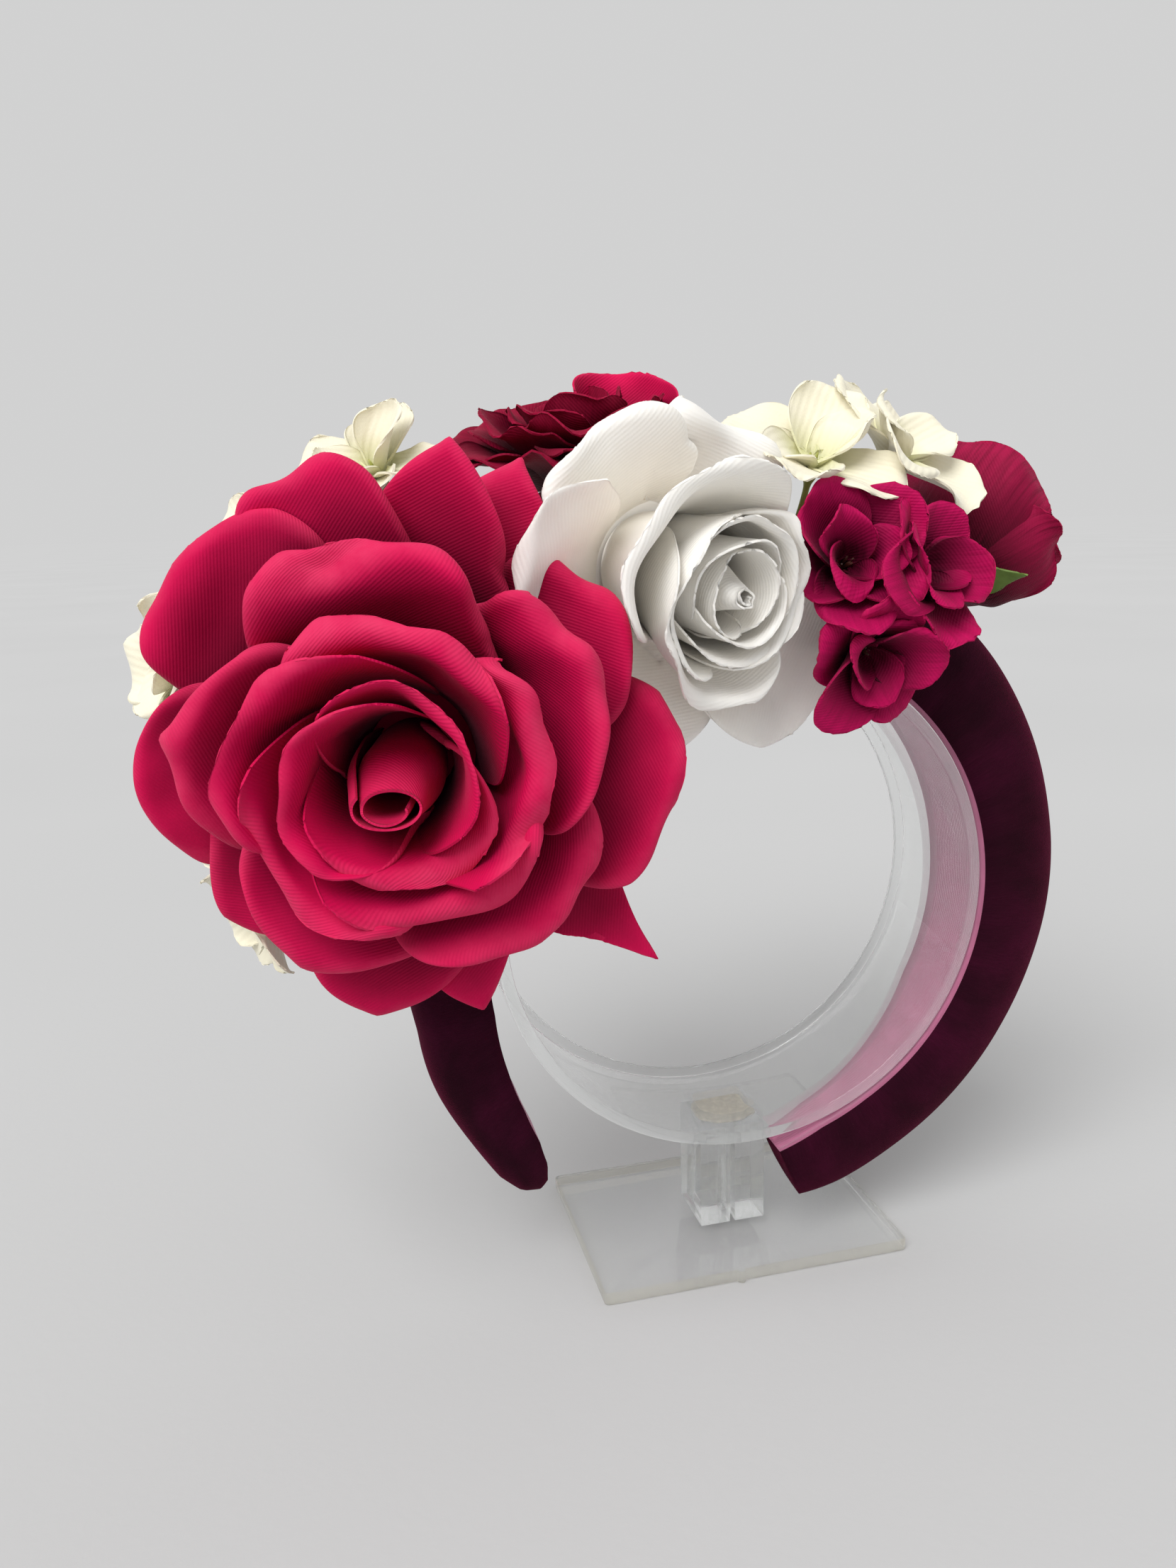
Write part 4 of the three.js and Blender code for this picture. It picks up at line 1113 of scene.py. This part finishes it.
def cup_wall(calyx):
    """The cup that the petals stand on, from its flat top down to its neck."""
    radius, depth, neck = calyx
    profile = [(CUP_TIP, 0.0), *((radius * share, height) for share, height in CUP_TOP)]
    profile += [(radius * share, -depth * drop) for share, drop in CUP_SIDE]
    profile += [(neck * share, -depth * drop) for share, drop in CUP_NECK]
    profile.append((CUP_TIP, -depth - CUP_END))
    rungs = np.arange(len(profile))
    finer = np.linspace(0, rungs[-1], CUP_STEPS * rungs[-1] + 1)
    out, height = (np.interp(finer, rungs, column)[:, None] for column in zip(*profile))
    clock = full_clock(CUP_SIDES)
    ribs = 1 + RIB_HEIGHT * np.cos(CUP_RIBS * clock)
    rings = spread_out(out * np.sin(clock) * ribs, out * np.cos(clock) * ribs, height)
    points = np.concatenate([rings.reshape(-1, 3), np.zeros((1, 3))])
    cap = fan(len(points) - 1, np.arange(CUP_SIDES), True)
    zero = np.zeros(len(points))
    faces = grid_faces(len(finer), CUP_SIDES, False, True)
    return Wall(points, faces, cap, np.zeros((len(points), 2)), zero, zero)


def add_calyx(flower, cloth, look):
    """The cup under a flower, with sepals behind it and a stem to the bow. Returns their green."""
    green = leaf_cloth(f"{flower.name}_green", look.leaf)
    radius, depth, neck = flower.calyx
    matrix = flower_matrix(flower.origin, flower.axis)
    seat = matrix.inverted() @ band_surface(flower.anchor.angle, flower.anchor.y)
    cup = cup_wall(flower.calyx)
    stem = stem_wall(-depth / 2, -depth - neck, seat, np.full(STEM_POINTS, neck * STEM_SHARE), STEM_SIDES)
    slope = math.degrees(math.atan2(radius - neck, depth))
    reach = math.hypot(radius - neck, depth) * SEPAL_SHARE
    behind = Matrix.Translation((0, 0, -depth - 2 * FOOT_RISE))
    walls = [cup, stem]
    for i, offset in enumerate(SEPAL_TURNS):
        away = math.degrees(math.atan2(seat.x, seat.y)) + 180 + offset
        lean = (slope + SEPAL_LEAN_FOOT, slope + SEPAL_LEAN_TIP)
        sepal = Petal("", away, neck, reach, radius * SEPAL_WIDTH, *lean, *SEPAL_SHAPE)
        leaf = petal_wall(sepal, f"{flower.name}_{i}", SMALL_GRID, look, matrix @ behind)
        walls.append(moved(leaf, behind))
    whole = joined(walls)
    whole = whole._replace(points=cleared(whole.points, matrix, 3 * GAP))
    marks = marked(walls, [1] + [0] * (len(walls) - 1))
    green_end = CUP_SIDES * 2 * CUP_STEPS
    marks[len(cup.faces) - green_end : len(cup.faces)] = 0
    name = flower.name
    add_piece(f"{name}_cup", whole, matrix, [green, cloth], f"{name}_calyx", marks)
    return green


def add_petals(flower, cloth, look):
    """The rolled heart of a flower and its petals. Rows of one name make one piece."""
    matrix = flower_matrix(flower.origin, flower.axis)
    if flower.heart:
        name = f"{flower.name}_heart"
        add_piece(f"{name}_roll", heart_wall(flower.heart, name, look), matrix, [cloth], name)
    for label in dict.fromkeys(petal.name for petal in flower.petals):
        name = f"{flower.name}_{label}"
        cuts = [petal for petal in flower.petals if petal.name == label]
        walls = [petal_wall(petal, f"{name}_{i}", ROSE_GRID, look, matrix) for i, petal in enumerate(cuts)]
        add_piece(f"{name}_cloth", joined(walls), matrix, [cloth], name)


class HEADBAND_OT_big_rose(Operator):
    """Make the big crimson rose"""

    bl_idname = "headband.big_rose"
    bl_label = "Big rose"

    def execute(self, context):
        look = context.scene.headband_flowers
        cloth = petal_cloth("crimson_cloth", look.crimson, look.crimson_lip, PINK_SHEEN)
        add_petals(BIG_ROSE, cloth, look)
        add_calyx(BIG_ROSE, cloth, look)
        return {"FINISHED"}


class HEADBAND_OT_white_rose(Operator):
    """Make the white satin rose"""

    bl_idname = "headband.white_rose"
    bl_label = "White rose"

    def execute(self, context):
        look = context.scene.headband_flowers
        cloth = satin_cloth(look.satin)
        add_petals(WHITE_ROSE, cloth, look)
        add_calyx(WHITE_ROSE, cloth, look)
        return {"FINISHED"}


class HEADBAND_OT_dark_flower(Operator):
    """Make the ruffled dark flower behind the roses, with the bright petal that stands up beside it"""

    bl_idname = "headband.dark_flower"
    bl_label = "Dark flower"

    def layer_walls(self, layer, name, look, matrix):
        """One ring of ruffled petals."""
        middle_lean = math.radians((layer.lean_foot + layer.lean_tip) / 2)
        reach = layer.foot + layer.length * math.sin(middle_lean)
        width = 2 * math.pi * reach / layer.petals * DARK_OVERLAP
        walls = []
        rng = np.random.default_rng(seed_of(name))
        for i in range(layer.petals):
            turn = 360 * i / layer.petals + LAYER_TURN * layer.foot + rng.uniform(*TURN_SPREAD)
            lean = rng.uniform(*LEAN_SPREAD)
            leans = (layer.lean_foot + lean, layer.lean_tip + lean)
            petal = Petal("", turn, layer.foot, layer.length, width, *leans, *DARK_CUT, layer.ripple)
            walls.append(petal_wall(petal, f"{name}_{i}", SMALL_GRID, look, matrix))
        return walls

    def execute(self, context):
        look = context.scene.headband_flowers
        slot = "dark_crimson_cloth"
        cloth = petal_cloth(slot, look.dark_crimson, look.crimson, DARK_SHEEN, veins=0.35)
        bright = petal_cloth("bright_petal", look.crimson, look.crimson_lip, PINK_SHEEN)
        matrix = flower_matrix(DARK_FLOWER.origin, DARK_FLOWER.axis)
        for layer in DARK_LAYERS:
            name = f"{DARK_FLOWER.name}_{layer.name}"
            walls = self.layer_walls(layer, name, look, matrix)
            marks = [0] * len(walls)
            if layer.name == BRIGHT_LAYER:
                place = flower_matrix(**BRIGHT_PLACE)
                upright = petal_wall(BRIGHT_PETAL, f"{name}_bright", ROSE_GRID, look, place)
                walls.append(moved(upright, matrix.inverted() @ place))
                marks.append(1)
            finishes = [cloth, bright]
            add_piece(f"{name}_ruffle", joined(walls), matrix, finishes, name, marked(walls, marks))
        add_calyx(DARK_FLOWER, cloth, look)
        return {"FINISHED"}


class HEADBAND_OT_raspberry_bud(Operator):
    """Make the raspberry bud with its green sepal"""

    bl_idname = "headband.raspberry_bud"
    bl_label = "Raspberry bud"

    def execute(self, context):
        look = context.scene.headband_flowers
        cloth = petal_cloth("raspberry_cloth", look.raspberry, look.crimson, RASPBERRY_SHEEN, veins=0.6)
        add_petals(RASPBERRY_BUD, cloth, look)
        green = add_calyx(RASPBERRY_BUD, cloth, look)
        matrix = flower_matrix(RASPBERRY_BUD.origin, RASPBERRY_BUD.axis)
        name = f"{RASPBERRY_BUD.name}_{BUD_SEPAL.name}"
        leaf = petal_wall(BUD_SEPAL, name, SMALL_GRID, look, matrix)
        add_piece(f"{name}_leaf", leaf, matrix, [green], name)
        return {"FINISHED"}


def add_blossom(row, cloth, green, look, longer, ripple):
    """A die-cut blossom: two whorls of thin petals round a few stamens, on a wire stem."""
    matrix = flower_matrix((row.x, row.y, row.z), (row.ax, row.ay, row.az))
    petals = []
    rng = np.random.default_rng(seed_of(row.name))
    second = SECOND_WHORL
    whorls = (
        (row.count, row.turn, 1.0, row.lean),
        (row.count - second["fewer"], row.turn + second["turn"], second["share"], row.lean + second["lean"]),
    )
    for count, start, share, slope in whorls:
        for i in range(count):
            stretch, tilt, turn, skew = (rng.uniform(*span) for span in BLOSSOM_SPREAD.values())
            long = row.petal * longer * share * stretch
            lean = slope + tilt
            turn += start + 360 * i / count
            cut = (turn, BLOSSOM["foot"], long, long * BLOSSOM["ratio"], lean, lean + BLOSSOM["open"])
            shape = (BLOSSOM["cup"], skew, BLOSSOM["lip"], BLOSSOM["roll"], "round", ripple)
            name = f"{row.name}_{count}_{i}"
            petals.append(petal_wall(Petal(name, *cut, *shape), name, SMALL_GRID, look, matrix))
    stems = []
    for _ in range(STAMENS["count"]):
        turn, spread = rng.uniform(0, 2 * math.pi), rng.uniform(*STAMENS["spread"])
        tip = (spread * math.cos(turn), spread * math.sin(turn), rng.uniform(*STAMENS["height"]))
        thread = np.linspace(STAMENS["foot"], tip, len(STAMEN_RADII))
        stems.append(tube_wall(thread, STAMEN_RADII, STAMENS["sides"]))
    seat = matrix.inverted() @ band_surface(row.angle, row.seat)
    stem = BLOSSOM_STEM
    knot = np.exp(-((np.linspace(0, stem["points"], stem["points"]) - 1) ** 2) / 3)
    radii = stem["radius"] * (1 + stem["knot"] * knot)
    stems.append(stem_wall(stem["start"], stem["back"], seat, radii, stem["sides"]))
    walls = petals + stems
    marks = marked(walls, [0] * len(petals) + [1] * len(stems))
    whole = joined(walls)
    whole = whole._replace(points=cleared(whole.points, matrix, 3 * GAP))
    add_piece(f"{row.name}_petals", whole, matrix, [cloth, green], row.name, marks)


class HEADBAND_OT_ivory_blossoms(Operator):
    """Make the six ivory blossoms"""

    bl_idname = "headband.ivory_blossoms"
    bl_label = "Ivory blossoms"

    def execute(self, context):
        look = context.scene.headband_flowers
        cloth = ivory_cloth(look.ivory)
        green = leaf_cloth("ivory_blossom_green", IVORY_STEM)
        for row in IVORY_BLOSSOMS:
            add_blossom(row, cloth, green, look, 1.0, IVORY_RIPPLE)
        return {"FINISHED"}


class HEADBAND_OT_crimson_blossoms(Operator):
    """Make the three small crimson blossoms"""

    bl_idname = "headband.crimson_blossoms"
    bl_label = "Crimson blossoms"

    def execute(self, context):
        look = context.scene.headband_flowers
        cloth = petal_cloth("blossom_crimson", look.blossom, look.crimson_lip, PINK_SHEEN, veins=0.4)
        green = leaf_cloth("crimson_blossom_stem", CRIMSON_STEM)
        for row in CRIMSON_BLOSSOMS:
            add_blossom(row, cloth, green, look, CRIMSON_LONGER, CRIMSON_RIPPLE)
        return {"FINISHED"}


OPERATORS = (
    HEADBAND_OT_stage,
    HEADBAND_OT_stand,
    HEADBAND_OT_velvet_band,
    HEADBAND_OT_big_rose,
    HEADBAND_OT_white_rose,
    HEADBAND_OT_dark_flower,
    HEADBAND_OT_raspberry_bud,
    HEADBAND_OT_ivory_blossoms,
    HEADBAND_OT_crimson_blossoms,
)
GROUPS = {
    FlowerLook: "headband_flowers",
    BandLook: "headband_band",
    StandLook: "headband_stand",
    StageLook: "headband_stage",
}


class HEADBAND_PT_maker(Panel):
    """Lists the pieces of the headband"""

    bl_label = "Flower headband"
    bl_idname = "HEADBAND_PT_maker"
    bl_space_type = "VIEW_3D"
    bl_region_type = "UI"
    bl_category = "Headband"

    def draw(self, context):
        for operator in OPERATORS:
            self.layout.operator(operator.bl_idname)
        for group, place in GROUPS.items():
            for name in group.__annotations__:
                self.layout.prop(getattr(context.scene, place), name)


def register():
    for group, name in GROUPS.items():
        bpy.utils.register_class(group)
        setattr(bpy.types.Scene, name, PointerProperty(type=group))
    for operator in OPERATORS:
        bpy.utils.register_class(operator)
    bpy.utils.register_class(HEADBAND_PT_maker)


def unregister():
    bpy.utils.unregister_class(HEADBAND_PT_maker)
    for operator in reversed(OPERATORS):
        bpy.utils.unregister_class(operator)
    for group, name in GROUPS.items():
        delattr(bpy.types.Scene, name)
        bpy.utils.unregister_class(group)


def main():
    register()
    for operator in OPERATORS:
        family, name = operator.bl_idname.split(".")
        getattr(getattr(bpy.ops, family), name)()


if __name__ == "__main__":
    main()
